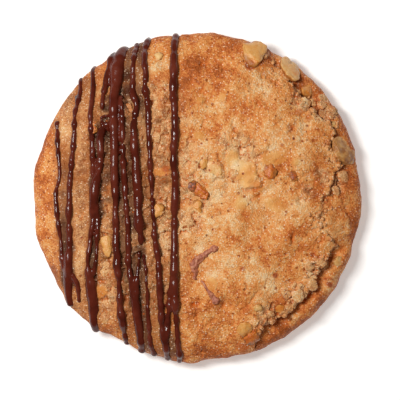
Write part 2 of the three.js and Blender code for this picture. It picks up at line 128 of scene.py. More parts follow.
# Lifted edges of crust.  Each has its height, how far back the crust slopes up to it, and
# the points that it runs through, with the lifted side on the left.
LIFTED_EDGES = (
    (0.75, 2.6, ((10.4, 2.1), (11.7, 2.1), (13.3, 2.3), (14.5, 2.7), (14.4, 3.8), (13.6, 5.4),
                 (13.2, 6.3), (13.3, 7.4), (13.0, 8.3), (12.9, 8.9))),
    (0.55, 1.9, ((12.5, 8.4), (12.9, 8.9), (13.8, 9.6), (14.7, 10.1), (15.8, 10.9),
                 (16.3, 11.9), (15.8, 12.5), (15.4, 12.9))),
    (0.60, 2.2, ((6.0, 4.0), (5.9, 5.1), (5.7, 6.3), (5.4, 7.4), (4.7, 8.6), (4.0, 9.5))),
    (0.80, 1.6, ((19.8, 14.8), (21.1, 15.4), (21.8, 16.3), (22.1, 17.2), (21.8, 17.9),
                 (21.3, 18.4))),
    (0.45, 1.0, ((9.9, -21.1), (10.6, -20.9), (10.8, -19.9), (10.4, -19.0))),
    (0.50, 1.5, ((-10.8, 19.6), (-9.5, 19.9), (-8.6, 20.5), (-7.9, 21.3))),
    (0.50, 1.5, ((-9.5, -4.9), (-8.6, -4.4), (-7.9, -3.8), (-7.2, -3.3))),
    (0.60, 1.6, ((-23.9, -19.1), (-22.2, -18.8), (-20.9, -18.8), (-19.4, -18.2))),
    (0.45, 2.2, ((26.7, 3.4), (27.5, 3.0), (28.4, 2.6), (29.5, 2.9), (30.4, 3.1))),
    (0.40, 1.2, ((12.0, 0.2), (12.9, 0.3), (13.8, 0.8), (14.1, 1.4))),
    (0.60, 1.2, ((10.2, 9.8), (10.8, 10.1), (11.2, 10.8), (11.4, 11.7), (12.4, 12.3))),
    (0.40, 1.2, ((7.2, 4.0), (8.8, 3.8), (9.9, 4.3))),
    (0.35, 1.2, ((19.3, 4.0), (20.4, 4.7), (20.6, 5.8))),
    (0.35, 0.9, ((4.7, 2.4), (6.0, 2.4), (6.5, 3.1), (6.5, 4.0))),
    (0.35, 1.4, ((25.3, 4.0), (26.8, 4.1), (28.0, 4.6))),
    (0.35, 1.2, ((25.0, -0.4), (26.1, -0.6), (26.6, 0.1), (27.2, 0.9))),
    (0.40, 1.5, ((23.2, 3.6), (24.1, 3.1), (24.2, 1.9))),
    (0.35, 1.3, ((8.3, 13.6), (9.4, 13.2), (9.6, 12.1), (9.2, 11.4))),
    (0.35, 1.2, ((-1.7, 9.4), (-0.4, 10.0), (0.2, 11.4), (0.0, 12.9))),
    (0.45, 2.0, ((32.4, -9.2), (34.6, -8.3), (34.9, -6.2), (34.4, -4.2), (33.8, -2.6))),
    (0.40, 1.6, ((21.0, -11.0), (21.4, -9.8), (21.2, -8.8), (21.9, -7.4))),
    (0.40, 1.2, ((23.6, -18.9), (24.6, -20.4), (24.3, -21.4))),
    (0.50, 1.0, ((-16.2, 21.8), (-14.2, 21.6), (-13.8, 20.2))),
    (0.40, 1.2, ((-26.6, 8.2), (-25.2, 9.2), (-24.8, 11.0), (-25.2, 13.0))),
    (0.35, 1.2, ((-21.4, 6.6), (-20.2, 7.2), (-19.8, 9.0), (-20.2, 10.6))),
    (0.35, 1.0, ((0.2, 21.2), (1.6, 21.6), (1.8, 22.8))),
    (0.35, 1.2, ((4.4, 21.6), (6.4, 21.9), (6.7, 23.2), (6.2, 24.2))),
)

# Cracks in the crust: width, depth, and the points that each runs through.
FINE_CRACKS = (
    (0.45, 0.55, ((1.8, 17.7), (1.3, 16.6), (0.6, 15.5))),
    (0.40, 0.45, ((8.8, 18.0), (8.1, 17.4), (7.9, 16.3), (8.6, 15.2), (9.0, 15.6))),
    (0.35, 0.35, ((11.5, 14.7), (12.0, 13.6))),
    (0.35, 0.35, ((13.3, 13.1), (13.8, 12.4), (13.8, 11.5))),
    (0.35, 0.45, ((26.0, 11.3), (26.1, 10.4), (26.8, 9.5), (27.4, 9.0))),
    (0.35, 0.45, ((27.0, 7.6), (27.5, 7.1), (27.6, 6.5), (27.9, 6.0))),
    (0.55, 0.65, ((28.9, 0.2), (28.6, -1.4), (28.7, -3.3))),
    (0.50, 0.60, ((28.4, -2.9), (27.5, -3.5), (26.7, -4.2))),
    (0.50, 0.60, ((26.6, -5.4), (27.5, -4.9), (28.2, -4.4))),
    (0.45, 0.50, ((27.2, -7.6), (27.7, -7.2))), (0.50, 0.55, ((28.2, -6.7), (28.6, -7.2))),
    (0.50, 0.60, ((28.2, -7.9), (28.4, -9.2), (28.3, -9.9), (27.7, -10.8))),
    (0.40, 0.55, ((33.2, -0.3), (33.6, -1.3))),
    (0.45, 0.55, ((34.1, -1.7), (33.9, -2.9), (34.5, -4.0))),
    (0.45, 0.50, ((21.5, -8.1), (21.3, -9.0), (21.5, -9.7), (21.8, -10.4))),
    (0.50, 0.60, ((9.8, -26.0), (10.4, -25.5), (11.1, -25.0), (11.5, -24.6))),
    (0.50, 0.55, ((12.3, -23.6), (12.7, -22.9), (13.1, -22.2), (13.8, -21.8))),
    (0.35, 0.40, ((15.2, -22.3), (15.6, -22.0), (16.1, -21.5))),
    (0.50, 0.80, ((0.8, 4.0), (1.4, 3.4), (1.8, 3.0))), (0.50, 0.80, ((0.3, 7.2), (0.6, 8.1))),
    (0.40, 0.40, ((10.8, 24.1), (11.1, 22.9), (11.1, 22.2), (10.8, 20.9))),
    (0.50, 0.60, ((5.6, 30.4), (5.8, 29.8), (6.3, 29.2))),
    (0.50, 0.80, ((0.8, 30.3), (1.3, 30.8), (1.9, 30.2))),
    (0.40, 0.50, ((7.5, 29.1), (8.1, 29.6))), (0.35, 0.45, ((7.9, 32.0), (8.3, 31.6))),
    (0.40, 0.35, ((5.6, 33.6), (5.4, 32.9))), (0.30, 0.35, ((22.2, -12.0), (22.7, -12.4))),
    (0.30, 0.30, ((21.3, -14.9), (21.8, -14.5))), (0.35, 0.35, ((17.9, 3.3), (18.6, 3.2))),
    (0.40, 0.35, ((-2.2, -30.3), (-1.3, -30.2))),
    (0.40, 0.45, ((0.0, -31.2), (0.6, -31.8), (0.1, -32.5))),
    (0.40, 0.45, ((2.1, -31.8), (2.4, -31.1), (2.7, -30.7))),
    (0.35, 0.40, ((4.8, -32.3), (5.4, -31.8))), (0.40, 0.60, ((5.4, -34.8), (5.8, -34.5))),
    (0.40, 0.45, ((-1.3, -35.5), (-0.8, -36.1))), (0.40, 0.40, ((1.0, -35.2), (1.0, -36.1))),
    (0.35, 0.35, ((7.9, -29.3), (8.6, -28.4))), (0.35, 0.60, ((-22.0, -21.8), (-21.7, -22.5))),
    (0.35, 0.40, ((19.0, 24.2), (19.7, 23.6))), (0.45, 0.55, ((27.2, 23.8), (28.2, 24.1))),
    (0.40, 0.50, ((28.4, 20.4), (28.6, 19.7))), (0.40, 0.50, ((26.1, 22.0), (26.1, 21.1))),
    (0.35, 0.40, ((-22.9, 25.2), (-22.7, 24.7))), (0.35, 0.40, ((31.6, -11.1), (32.0, -10.4))),
    (0.70, 0.90, ((6.1, -23.2), (5.8, -24.7))), (0.35, 0.50, ((15.4, -1.4), (15.7, -1.6))),
    (0.35, 0.25, ((7.9, -4.2), (8.3, -5.1), (9.0, -6.5))),
    (0.40, 0.35, ((1.1, -11.1), (2.1, -12.0))), (0.50, 0.70, ((-23.4, -19.2), (-21.0, -19.1))),
    (0.40, 0.50, ((1.4, -0.2), (1.4, -2.0), (1.3, -3.6))),
)

# Holes in the crust: x, y, radius and depth.  The first two are hollows between strands,
# and steam left the others.
STEAM_HOLES = (
    (-16.2, 27.4, 1.2, 0.7), (-16.1, 24.6, 1.1, 0.6), (-2.1, 34.4, 0.25, 0.5),
    (-3.3, 34.8, 0.25, 0.4), (4.9, 32.5, 0.30, 0.5), (5.9, 32.0, 0.30, 0.6),
    (8.0, 33.7, 0.28, 0.5), (2.4, 29.0, 0.30, 0.4), (1.6, 28.2, 0.28, 0.5),
    (3.5, 27.1, 0.28, 0.4), (5.1, 27.6, 0.28, 0.4), (7.9, 28.2, 0.32, 0.5),
    (9.5, 28.4, 0.32, 0.4), (0.7, 24.4, 0.65, 0.5), (-1.4, 26.6, 0.70, 0.3),
    (1.6, 23.6, 0.30, 0.4), (12.4, 21.9, 0.30, 0.4), (13.6, 21.4, 0.32, 0.5),
    (13.8, 20.9, 0.28, 0.4), (14.7, 27.2, 0.32, 0.5), (15.8, 27.4, 0.28, 0.5),
    (17.3, 28.4, 0.28, 0.5), (18.1, 25.9, 0.40, 0.7), (19.0, 28.2, 0.26, 0.5),
    (18.5, 26.9, 0.28, 0.4), (14.9, 25.5, 0.30, 0.4), (14.0, 25.5, 0.28, 0.4),
    (16.5, 25.3, 0.26, 0.4), (17.0, 26.3, 0.28, 0.4), (20.4, 22.5, 0.28, 0.4),
    (14.9, 22.1, 0.25, 0.4), (12.8, 18.5, 0.25, 0.4), (11.6, 17.8, 0.26, 0.5),
    (10.6, 17.4, 0.25, 0.3), (19.0, 17.9, 0.28, 0.4), (18.0, 16.6, 0.25, 0.4),
    (14.1, 18.9, 0.28, 0.3), (21.3, 16.0, 0.60, 0.8), (8.6, 15.2, 0.50, 0.5),
    (-0.9, -24.4, 0.50, 0.9), (0.1, -24.2, 0.45, 0.9), (2.9, -23.7, 0.35, 0.7),
    (7.7, -24.7, 0.28, 0.6), (3.3, -10.8, 0.28, 0.3), (-0.1, -13.5, 0.25, 0.4),
    (-0.6, -12.3, 0.25, 0.4), (16.2, -23.9, 0.32, 0.6), (17.0, -24.3, 0.25, 0.4),
    (21.1, -18.9, 0.28, 0.7), (20.1, -12.9, 0.28, 0.7), (24.5, -16.5, 0.40, 0.6),
    (27.8, -13.6, 0.28, 0.6), (26.3, -13.1, 0.60, 0.4), (-3.1, -6.8, 0.30, 0.6),
    (-0.6, -5.5, 0.22, 0.3), (3.5, -7.4, 0.26, 0.4), (21.4, -9.4, 0.42, 0.5),
    (26.8, -23.1, 0.28, 0.6), (3.6, -27.6, 0.26, 0.3), (-30.1, 11.7, 0.30, 0.3),
    (-33.3, 7.8, 0.25, 0.3), (-34.7, 6.6, 0.25, 0.3), (-30.1, 7.9, 0.26, 0.4),
    (-20.7, -15.4, 0.30, 0.4), (12.3, -0.6, 0.28, 0.4), (-20.7, 1.5, 0.28, 0.4),
    (-16.2, -33.1, 0.30, 0.4), (-16.5, -33.7, 0.25, 0.4),
)

# Where the small steam holes gather, mostly at the top and along the bottom: x, y, spread.
HOLE_CENTRES = (
    (13.0, 25.0, 9.0), (4.0, 30.0, 8.0), (3.0, -31.0, 7.0), (12.0, -27.0, 8.0),
    (22.0, 8.0, 10.0), (26.0, -9.0, 6.0),
)

# Where the raw crumb shows through the crust, pale and rough: x, y, radius, strength.
CRUMB_PATCHES = (
    (-22.0, 14.0, 3.6, 0.7), (-21.0, 6.0, 3.6, 0.8), (-20.5, -3.0, 3.6, 0.8),
    (-20.5, -11.0, 3.2, 0.8), (-16.0, 18.0, 4.2, 1.0), (-15.5, 11.0, 4.2, 1.0),
    (-15.5, 3.0, 4.2, 1.0), (-15.0, -5.0, 4.2, 0.9), (-16.0, -12.0, 3.6, 0.9),
    (-10.5, 14.0, 3.6, 0.8), (-9.5, 5.0, 4.0, 0.7), (-9.0, -4.0, 3.6, 0.6),
    (-7.5, 18.0, 2.4, 0.5), (3.0, 7.0, 4.2, 0.6), (9.5, 10.5, 4.0, 0.8), (-1.5, 11.0, 3.2, 0.6),
    (3.5, 0.0, 4.0, 0.5), (12.0, 4.0, 2.6, 0.7), (-2.0, -6.0, 4.0, 0.5), (6.0, 13.5, 2.6, 0.5),
    (-1.0, 2.0, 4.0, 0.6), (29.0, 5.0, 2.6, 0.5), (29.5, 8.5, 2.4, 0.3), (24.5, 1.0, 2.6, 0.5),
    (24.5, 22.5, 3.0, 0.8), (29.5, 19.0, 2.2, 0.9), (22.5, -22.8, 2.6, 0.9),
    (16.8, -27.0, 3.0, 0.9), (27.5, -16.5, 2.6, 0.9), (33.0, 3.5, 2.4, 0.6),
)

# Hollows between the strands, painted dark brown as the shade that falls in them: x, y, radius,
# strength.
PAINTED_SHADE_POOLS = (
    (-16.1, 28.0, 1.6, 0.97), (-16.0, 24.6, 1.6, 0.97), (-16.4, 21.0, 1.2, 0.9),
    (-17.6, 20.0, 0.9, 0.97), (-17.7, 17.0, 0.9, 0.95), (-23.8, -12.0, 1.1, 0.95),
    (-21.8, 7.0, 1.1, 0.5), (-21.6, 2.0, 1.1, 0.6), (-21.7, -3.5, 1.2, 0.7),
    (-15.7, 1.5, 1.0, 0.4), (-15.8, -5.0, 1.0, 0.4), (-28.4, -11.5, 1.3, 0.55),
    (-26.4, 4.0, 1.0, 0.5), (-26.6, -3.0, 1.0, 0.5), (-20.9, 3.8, 1.4, 0.75),
    (-21.0, 18.0, 1.6, 0.95), (-21.0, 13.8, 1.5, 0.9), (-21.2, 22.5, 1.2, 0.9),
    (-21.0, 20.4, 1.5, 0.97), (-30.6, 1.0, 1.2, 0.4), (-30.5, -6.0, 1.2, 0.45),
    (-30.2, -11.0, 1.0, 0.5), (-20.5, 5.0, 1.5, 0.7), (-20.5, -0.5, 1.3, 0.65),
    (-20.6, 7.0, 1.0, 0.5), (-20.6, 1.5, 1.0, 0.5),
)

# Smooth amber patches, where a nut lies just under the crust: x, y, length, width, turn.
GLAZED_PATCHES = (
    (11.0, 5.4, 6.6, 5.2, -52), (17.3, -1.6, 5.4, 3.0, -8), (17.4, 8.8, 6.6, 3.2, 0),
    (9.7, -1.4, 3.0, 3.4, 0), (0.4, 14.1, 2.8, 1.6, 0), (7.9, 9.0, 3.4, 3.8, 0),
    (5.6, 22.9, 1.8, 1.8, 0), (0.4, 22.2, 2.0, 1.4, 0), (14.4, 2.0, 1.6, 1.2, 0),
    (-13.0, 28.8, 1.6, 2.2, 0), (22.2, 8.0, 1.8, 2.0, 0), (-22.2, -21.6, 3.4, 3.0, 30),
    (3.2, -19.6, 2.6, 3.0, 0), (-8.1, 5.8, 3.6, 1.9, -10),
)

# The coarser, browner crumb under the strands: for each of its sides the axis, where it has
# run out, and where it is at its fullest.
STRIPED_SIDES = ((0, 1.0, -8.0), (0, -34.5, -29.0), (1, 31.0, 23.0), (1, -33.0, -22.0))

# How wide each strand is drawn for its listed width.
STRAND_FULLNESS = 1.28

# Chocolate strands from left to right: how far the first and the last end run on past their
# points, over the rim and down the side, and (x, y, width) along each one.
STRANDS = (
    (0, 0, ((-32.1, 17.6, 0.9), (-31.9, 11.5, 1), (-31.3, 5.8, 0.7), (-32.1, 1.7, 0.8),
            (-31.9, -2.8, 1), (-31.1, -10.4, 0.8), (-30.5, -14.7, 1), (-29.4, -18.8, 1.4))),
    (0.6, 0, ((-26.4, 26.8, 0.8), (-26.9, 24.0, 0.9), (-27.5, 20.5, 1.1), (-28.0, 14.5, 1.0),
              (-28.8, 6, 1), (-29.2, 0, 1), (-29, -14.7, 1.4), (-29.4, -19, 1.9),
              (-29.2, -22, 1.6), (-28.5, -24.6, 1.2))),
    (0, 0, ((-28.6, -17.2, 1.0), (-27.4, -19.4, 1.0), (-27.0, -22, 0.8), (-26.9, -24, 0.7))),
    (0.8, 0, ((-23.5, 29.5, 0.9), (-23.8, 25.2, 1), (-24.1, 19.5, 1), (-24.0, 11.0, 1.1),
              (-23.9, 7.8, 1.1), (-23.7, 5.6, 1.0), (-23.4, 3.2, 1.0))),
    (1, 0, ((-19.3, 33, 1.21), (-20.3, 29.5, 1.1), (-21.2, 25.9, 0.99), (-21.8, 20, 0.88))),
    (0, 1.2, ((-21.6, 15.8, 1.1), (-22.1, 13.6, 1.5), (-21.9, 11.1, 1.3), (-22.1, 7.8, 1.1),
              (-22.4, 5.6, 1.1), (-23.0, 3.6, 1.5), (-23.3, 1.2, 1.9),
              (-23.9, -5.5, 1.1), (-24.4, -9.7, 0.85), (-24.7, -12.7, 0.8),
              (-24.9, -15.4, 0.85), (-24.7, -17.6, 1.3), (-24.4, -19.5, 2.0),
              (-24.2, -22.4, 2.2), (-23.7, -25.6, 2.0), (-23.0, -29.2, 1.5))),
    (0, 0, ((-22.7, -1, 0.9), (-22.7, -6, 0.8), (-22.9, -9.7, 0.75), (-22.9, -12.7, 0.7),
            (-23.2, -15.4, 0.75), (-23.9, -17.8, 0.9))),
    (0, 0, ((-22.1, 17.9, 0.6), (-21.6, 18.6, 0.6), (-20.8, 18.8, 0.6), (-19.9, 18.5, 0.8))),
    (0, 0, ((-21.9, 17.6, 0.7), (-21.4, 16.9, 1.2), (-21.7, 16.0, 1.0), (-21.6, 15.2, 1.2))),
    (0, 0, ((-21.3, 16.6, 0.7), (-20.6, 16.9, 1.0), (-20.0, 16.6, 0.8))),
    (0, 0, ((-20.9, 15.9, 0.8), (-20.3, 15.5, 0.8), (-19.7, 15.0, 0.8))),
    (0, 0, ((-27.9, 23.5, 0.6), (-27.8, 22.6, 0.8), (-27.2, 21.4, 0.7))),
    (1.8, 1.6, ((-17.3, 34, 2.1), (-18.0, 31.6, 2.6), (-18.6, 28.8, 2.7),
                (-19.0, 24.1, 1.9), (-19.0, 17.7, 1.7), (-18.9, 8.5, 1.65), (-18.6, 1.7, 1.5),
                (-18.7, -2.4, 1.3), (-18.5, -10.8, 1.35), (-18.2, -16.5, 1.5),
                (-17.9, -20.0, 1.15), (-17.7, -23.4, 1.05), (-17.3, -26.8, 1.4),
                (-16.9, -30.2, 1.25), (-16.3, -32.8, 1.2))),
    (0, 2.2, ((-17.5, 23.5, 0.7), (-17.1, 18.1, 1.0), (-17.0, 12, 1.05), (-16.8, 8, 1.1),
              (-16.6, 4.9, 1.25), (-16.3, -1, 1.0), (-15.8, -6.3, 1.1), (-15.8, -9.8, 1.1),
              (-15.7, -13, 1.1), (-15.4, -17, 1.1), (-14.9, -20, 1.2),
              (-14.2, -23.4, 1.6), (-13.7, -26.8, 1.75), (-13.3, -30.2, 1.7),
              (-12.7, -33.8, 1.4))),
    (1.4, 0, ((-14, 34.8, 1.1), (-14.5, 31.4, 1.15), (-14.8, 26, 1.2), (-14.6, 23, 1.35),
              (-13.8, 21.1, 1.2), (-14.4, 17.7, 1.2), (-14.4, 14, 1.5), (-14.2, 10.8, 1.65),
              (-14, 7.4, 1.5), (-13.9, 4, 1.75), (-13.4, 0.6, 1.75), (-13.5, -2.9, 1.6),
              (-13.2, -6.3, 2.05), (-12.9, -8.2, 1.1), (-12.8, -9.8, 1.25),
              (-12.8, -10.8, 0.8))),
    (0, 0, ((-13.4, -12.2, 0.7), (-13.4, -13.6, 0.9), (-13.6, -16.5, 0.8),
            (-13.8, -19.8, 1.0), (-13.9, -23.4, 1.3))),
    (2.2, 3, ((-11.4, 35.6, 1.16), (-12, 33.6, 1.26), (-11.7, 27.6, 1.16),
              (-11.9, 24.6, 1.16), (-11.4, 21.1, 1.16),
              (-11.1, 16, 1.16), (-10.9, 9.8, 0.95), (-10.3, 1.6, 0.95), (-9.9, -6, 0.95),
              (-9.1, -13.3, 1.16), (-8.5, -22.4, 1.26), (-8, -29.6, 1.16), (-7.2, -33, 1.58),
              (-6.9, -35.6, 1.26))),
    (0, 2.2, ((-12.2, -12.8, 0.7), (-11.6, -18.2, 0.6), (-11.3, -25, 0.8), (-10.7, -32.2, 1.0),
              (-10, -35, 1))),
    (3, 3.2, ((-5.1, 36.2, 1.3), (-5.3, 32, 1.4), (-5.4, 22.2, 1.4), (-5, 14.2, 1.5),
              (-5.4, 10, 1.2), (-5.1, 2.6, 1.4), (-5.3, -6.3, 1.3), (-5.3, -14.7, 1.6),
              (-5.1, -22.7, 1.4), (-4.8, -28.4, 1.1), (-4.1, -35.6, 1.3))),
    (0, 0, ((-5.6, -17.6, 1), (-6.4, -22, 0.9), (-6.5, -27, 0.9), (-7, -32, 1.1))),
)

# How pieces sunk in the crust are shaped from a ball: how often it is subdivided, how round
# it stays, how rough it is and how many knife strokes plane it.
NUT_SHAPE = (4, 0.45, 0.13, 7)
TOASTED_NUT_SHAPE = (4, 0.45, 0.34, 7)
CRUMB_SHAPE = (4, 0.45, 0.17, 6)
KERNEL_SHAPE = (5, 0.7, 0.16, 1)

# Chopped nuts: how far each stands out, its tone from 0 for pale to 1 for toasted, and
# its outline seen from above.
NUTS = (
    (1.3, 0.40, ((10.6, 34.5), (11.3, 35.0), (12.4, 35.2), (13.8, 35.2), (14.9, 34.5),
                 (15.6, 34.0), (15.4, 32.9), (14.7, 31.8), (13.6, 30.2), (12.9, 29.8),
                 (12.0, 30.0), (11.3, 30.7), (10.7, 31.6), (10.5, 33.2))),
    (1.4, 0.32, ((19.4, 32.0), (20.5, 32.4), (21.1, 32.1), (21.7, 31.5), (22.8, 30.6),
                 (23.5, 29.7), (23.7, 28.8), (23.5, 27.8), (22.8, 27.2), (22.4, 27.0),
                 (21.5, 27.8), (20.3, 29.0), (19.6, 29.9), (19.3, 31.0))),
    (1.0, 0.60, ((24.3, 25.4), (25.2, 26.1), (26.1, 26.6), (26.8, 26.3), (27.0, 25.4),
                 (26.8, 24.3), (26.3, 23.4), (25.4, 23.6), (24.5, 24.3))),
    (0.35, 0.20, ((-9.7, 32.5), (-8.6, 32.9), (-7.6, 32.3), (-7.9, 31.4), (-9.0, 31.1),
                  (-9.9, 31.6))),
    (0.6, 0.38, ((-22.0, -9.2), (-21.3, -8.7), (-19.9, -8.8), (-19.3, -9.5), (-19.3, -10.4),
                 (-19.5, -11.7), (-19.9, -13.1), (-20.2, -14.0), (-21.5, -14.0),
                 (-22.0, -12.4), (-21.8, -11.3), (-22.2, -10.4))),
    (0.6, 0.45, ((-9.9, -1.9), (-9.0, -1.5), (-7.9, -1.5), (-7.4, -2.2), (-7.9, -3.3),
                 (-8.8, -4.4), (-9.5, -4.7), (-9.9, -3.3))),
    (0.55, 0.30, ((1.7, 8.4), (2.6, 9.3), (3.8, 9.2), (4.7, 8.3), (5.1, 7.4), (5.6, 6.0),
                  (5.4, 4.9), (4.0, 4.7), (2.6, 5.4), (1.9, 6.7))),
    (0.55, 0.45, ((0.7, 9.0), (1.7, 9.3), (2.3, 8.0), (1.8, 6.7), (1.0, 6.5), (0.7, 7.4))),
    (0.8, 0.80, ((-0.8, 3.4), (0.8, 2.9), (1.9, 1.9), (2.4, 1.0), (1.9, -0.1), (0.6, -0.1),
                 (-0.6, 0.8), (-1.0, 2.0))),
    (0.6, 0.98, ((-1.6, 3.6), (-0.4, 3.8), (-0.1, 2.7), (-0.7, 1.3), (-1.6, 1.7))),
    (0.5, 0.50, ((-1.0, -0.6), (-0.1, -0.3), (0.8, -1.0), (1.0, -2.4), (0.8, -3.5),
                 (-0.1, -2.9), (-0.8, -1.7))),
    (0.45, 0.80, ((15.2, 6.7), (16.5, 7.4), (17.7, 6.7), (17.9, 5.4), (17.4, 4.4),
                  (16.3, 4.4), (15.2, 5.4))),
    (0.35, 0.92, ((21.1, 5.8), (22.2, 5.8), (22.9, 4.9), (22.7, 3.8), (21.8, 3.5),
                  (21.1, 4.4))),
    (1.1, 0.45, ((9.0, -30.0), (9.5, -28.8), (10.6, -28.2), (11.7, -28.6), (12.4, -29.3),
                 (12.0, -30.4), (11.1, -31.4), (10.4, -31.8), (9.7, -31.1))),
    (0.8, 0.78, ((12.4, -29.5), (13.6, -30.0), (14.2, -30.9), (14.0, -32.0), (12.9, -32.7),
                 (11.5, -33.2), (10.8, -32.7), (10.4, -32.0), (11.3, -31.1), (12.2, -30.2))),
    (0.6, 0.65, ((18.1, -24.5), (19.0, -24.3), (19.7, -24.7), (19.5, -25.4), (18.6, -26.1),
                 (17.9, -25.9))),
    (0.5, 0.25, ((12.9, -24.5), (13.8, -24.1), (14.7, -24.7), (14.7, -25.7), (13.6, -25.9),
                 (12.7, -25.4))),
    (0.6, 0.75, ((-24.1, 17.4), (-23.1, 17.4), (-22.9, 16.1), (-23.4, 14.5), (-24.1, 14.7),
                 (-24.3, 16.1))),
    (0.6, 0.30, ((30.9, -14.9), (31.6, -14.0), (32.7, -13.6), (33.2, -14.7), (32.5, -15.8),
                 (31.6, -15.6))),
    (0.6, 0.30, ((30.4, 17.2), (31.1, 17.7), (31.8, 17.2), (31.8, 16.3), (31.1, 16.1),
                 (30.4, 16.8))),
)

# Lumps of crumb that broke loose and baked on, in the same form.
CRUMB_BLOCKS = (
    (0.9, 0.0, ((21.5, -21.3), (22.5, -21.0), (23.8, -21.0), (24.1, -22.0), (24.2, -23.1),
                (23.6, -23.8), (22.7, -23.8), (21.8, -22.9), (21.3, -22.0))),
    (0.7, 0.8, ((22.2, -24.1), (23.4, -24.1), (23.1, -25.2), (22.5, -26.1), (21.9, -25.9),
                (21.3, -25.2))),
    (0.6, 0.9, ((19.7, -24.7), (21.3, -24.1), (21.8, -24.7), (20.6, -25.9), (19.3, -27.0),
                (18.6, -27.0), (18.8, -25.9))),
    (0.7, 0.6, ((15.8, -26.1), (17.0, -25.9), (17.7, -26.6), (17.2, -27.2), (16.3, -26.9))),
    (0.8, 0.6, ((16.1, -28.2), (17.2, -27.5), (17.9, -27.9), (17.4, -28.6), (16.5, -28.8))),
    (0.6, 0.3, ((14.2, -26.8), (15.2, -26.3), (15.8, -27.0), (15.4, -27.9), (14.5, -27.5))),
    (0.7, 0.1, ((12.4, -27.5), (13.3, -27.2), (13.6, -28.6), (12.9, -29.3), (12.4, -28.4))),
    (0.5, 0.3, ((21.3, -19.5), (22.5, -19.5), (22.5, -20.6), (21.5, -20.9))),
    (0.6, 0.3, ((22.9, -19.7), (24.1, -19.5), (24.5, -20.4), (23.8, -20.9), (22.9, -20.6))),
    (0.8, 0.4, ((25.2, -18.4), (26.6, -18.6), (27.2, -19.7), (27.0, -21.1), (25.9, -21.3),
                (25.2, -20.4))),
    (0.6, 0.4, ((26.6, -14.0), (27.7, -13.7), (28.8, -13.8), (29.3, -14.7), (29.1, -15.4),
                (27.9, -15.6), (26.8, -15.2))),
    (0.5, 0.3, ((24.5, -14.9), (26.1, -15.4), (26.6, -16.3), (25.7, -16.8), (24.5, -16.3))),
    (0.5, 0.4, ((19.0, -21.3), (20.4, -21.1), (21.3, -21.8), (21.1, -22.9), (19.7, -22.9),
                (19.0, -22.2))),
    (0.6, 0.5, ((29.1, -16.1), (30.2, -14.7), (30.9, -15.2), (30.2, -16.5), (29.3, -17.0))),
    (0.6, 0.4, ((30.9, 2.4), (32.0, 2.6), (32.7, 1.5), (32.3, 0.3), (31.4, 0.3),
                (30.9, 1.3))),
    (0.5, 0.4, ((32.7, 5.8), (33.9, 6.3), (34.8, 5.1), (34.5, 3.5), (33.4, 3.1),
                (32.7, 4.2))),
    (0.3, 0.2, ((7.6, 6.3), (8.8, 6.3), (9.2, 5.1), (8.8, 4.2), (7.6, 4.2), (7.2, 5.1))),
    (0.35, 0.3, ((5.6, 13.6), (6.3, 12.9), (5.8, 12.2), (5.1, 12.4), (4.9, 13.3))),
    (0.35, 0.2, ((9.7, 13.6), (11.1, 13.8), (12.0, 12.9), (11.5, 12.2), (10.8, 11.5),
                 (9.9, 11.5), (9.5, 12.7))),
    (0.35, 0.2, ((11.7, 11.7), (12.7, 12.0), (12.9, 10.4), (12.4, 9.7), (11.5, 10.1))),
    (0.3, 0.3, ((7.9, 12.9), (9.2, 12.9), (9.5, 12.0), (8.6, 11.5), (7.6, 12.0))),
    (0.7, 0.0, ((23.6, 22.9), (25.0, 22.9), (25.9, 22.2), (25.9, 21.1), (24.7, 20.6),
                (23.6, 21.3), (23.4, 22.2))),
    (0.7, 0.4, ((26.1, 22.9), (27.0, 23.1), (27.7, 22.0), (27.5, 21.3), (26.6, 21.5),
                (26.1, 22.2))),
    (0.7, 0.35, ((27.9, 22.2), (28.6, 22.5), (29.5, 21.8), (29.8, 21.1), (29.3, 20.6),
                 (28.4, 20.6), (27.9, 21.3))),
    (0.6, 0.2, ((27.9, 23.6), (29.1, 23.6), (29.8, 22.2), (29.1, 22.2), (28.2, 22.7))),
    (0.6, 0.4, ((30.0, 18.8), (30.9, 19.0), (31.4, 18.4), (30.9, 17.9), (30.2, 17.9))),
    (0.5, 0.6, ((28.4, 20.4), (29.8, 20.4), (30.4, 19.9), (30.9, 19.0), (29.8, 18.4),
                (28.8, 18.6), (28.2, 19.5))),
    (0.6, 0.3, ((21.5, 26.1), (22.2, 26.0), (23.1, 25.2), (24.1, 24.1), (23.8, 23.6),
                (22.7, 24.3), (21.5, 25.2))),
    (0.5, 0.3, ((-22.0, -14.7), (-20.9, -14.5), (-19.9, -15.4), (-20.2, -17.0),
                (-20.6, -18.4), (-21.8, -18.1), (-22.5, -16.8))),
    (0.35, 0.9, ((-16.5, 21.2), (-15.3, 21.5), (-15.0, 20.4), (-15.2, 18.8), (-15.9, 18.3),
                 (-16.5, 19.6))),
    (0.3, 0.3, ((-1.7, 12.4), (-0.3, 12.7), (0.1, 11.5), (-0.6, 10.1), (-1.7, 9.7),
                (-2.6, 10.8))),
    (1.3, 0.2, ((-5.9, -12.9), (-5.2, -12.6), (-4.4, -12.9), (-4.3, -13.5), (-5.0, -13.8),
                (-5.8, -13.5))),
)

# The half kernel sunk in the right shoulder: how far it stands out, and its outline.
KERNEL = (1.1, (
    (31.6, 12.9), (32.5, 13.8), (33.9, 13.6), (34.8, 12.4), (35.7, 11.1), (36.0, 9.5),
    (35.9, 8.3), (34.8, 7.9), (33.4, 8.3), (32.5, 9.2), (31.8, 10.8)))

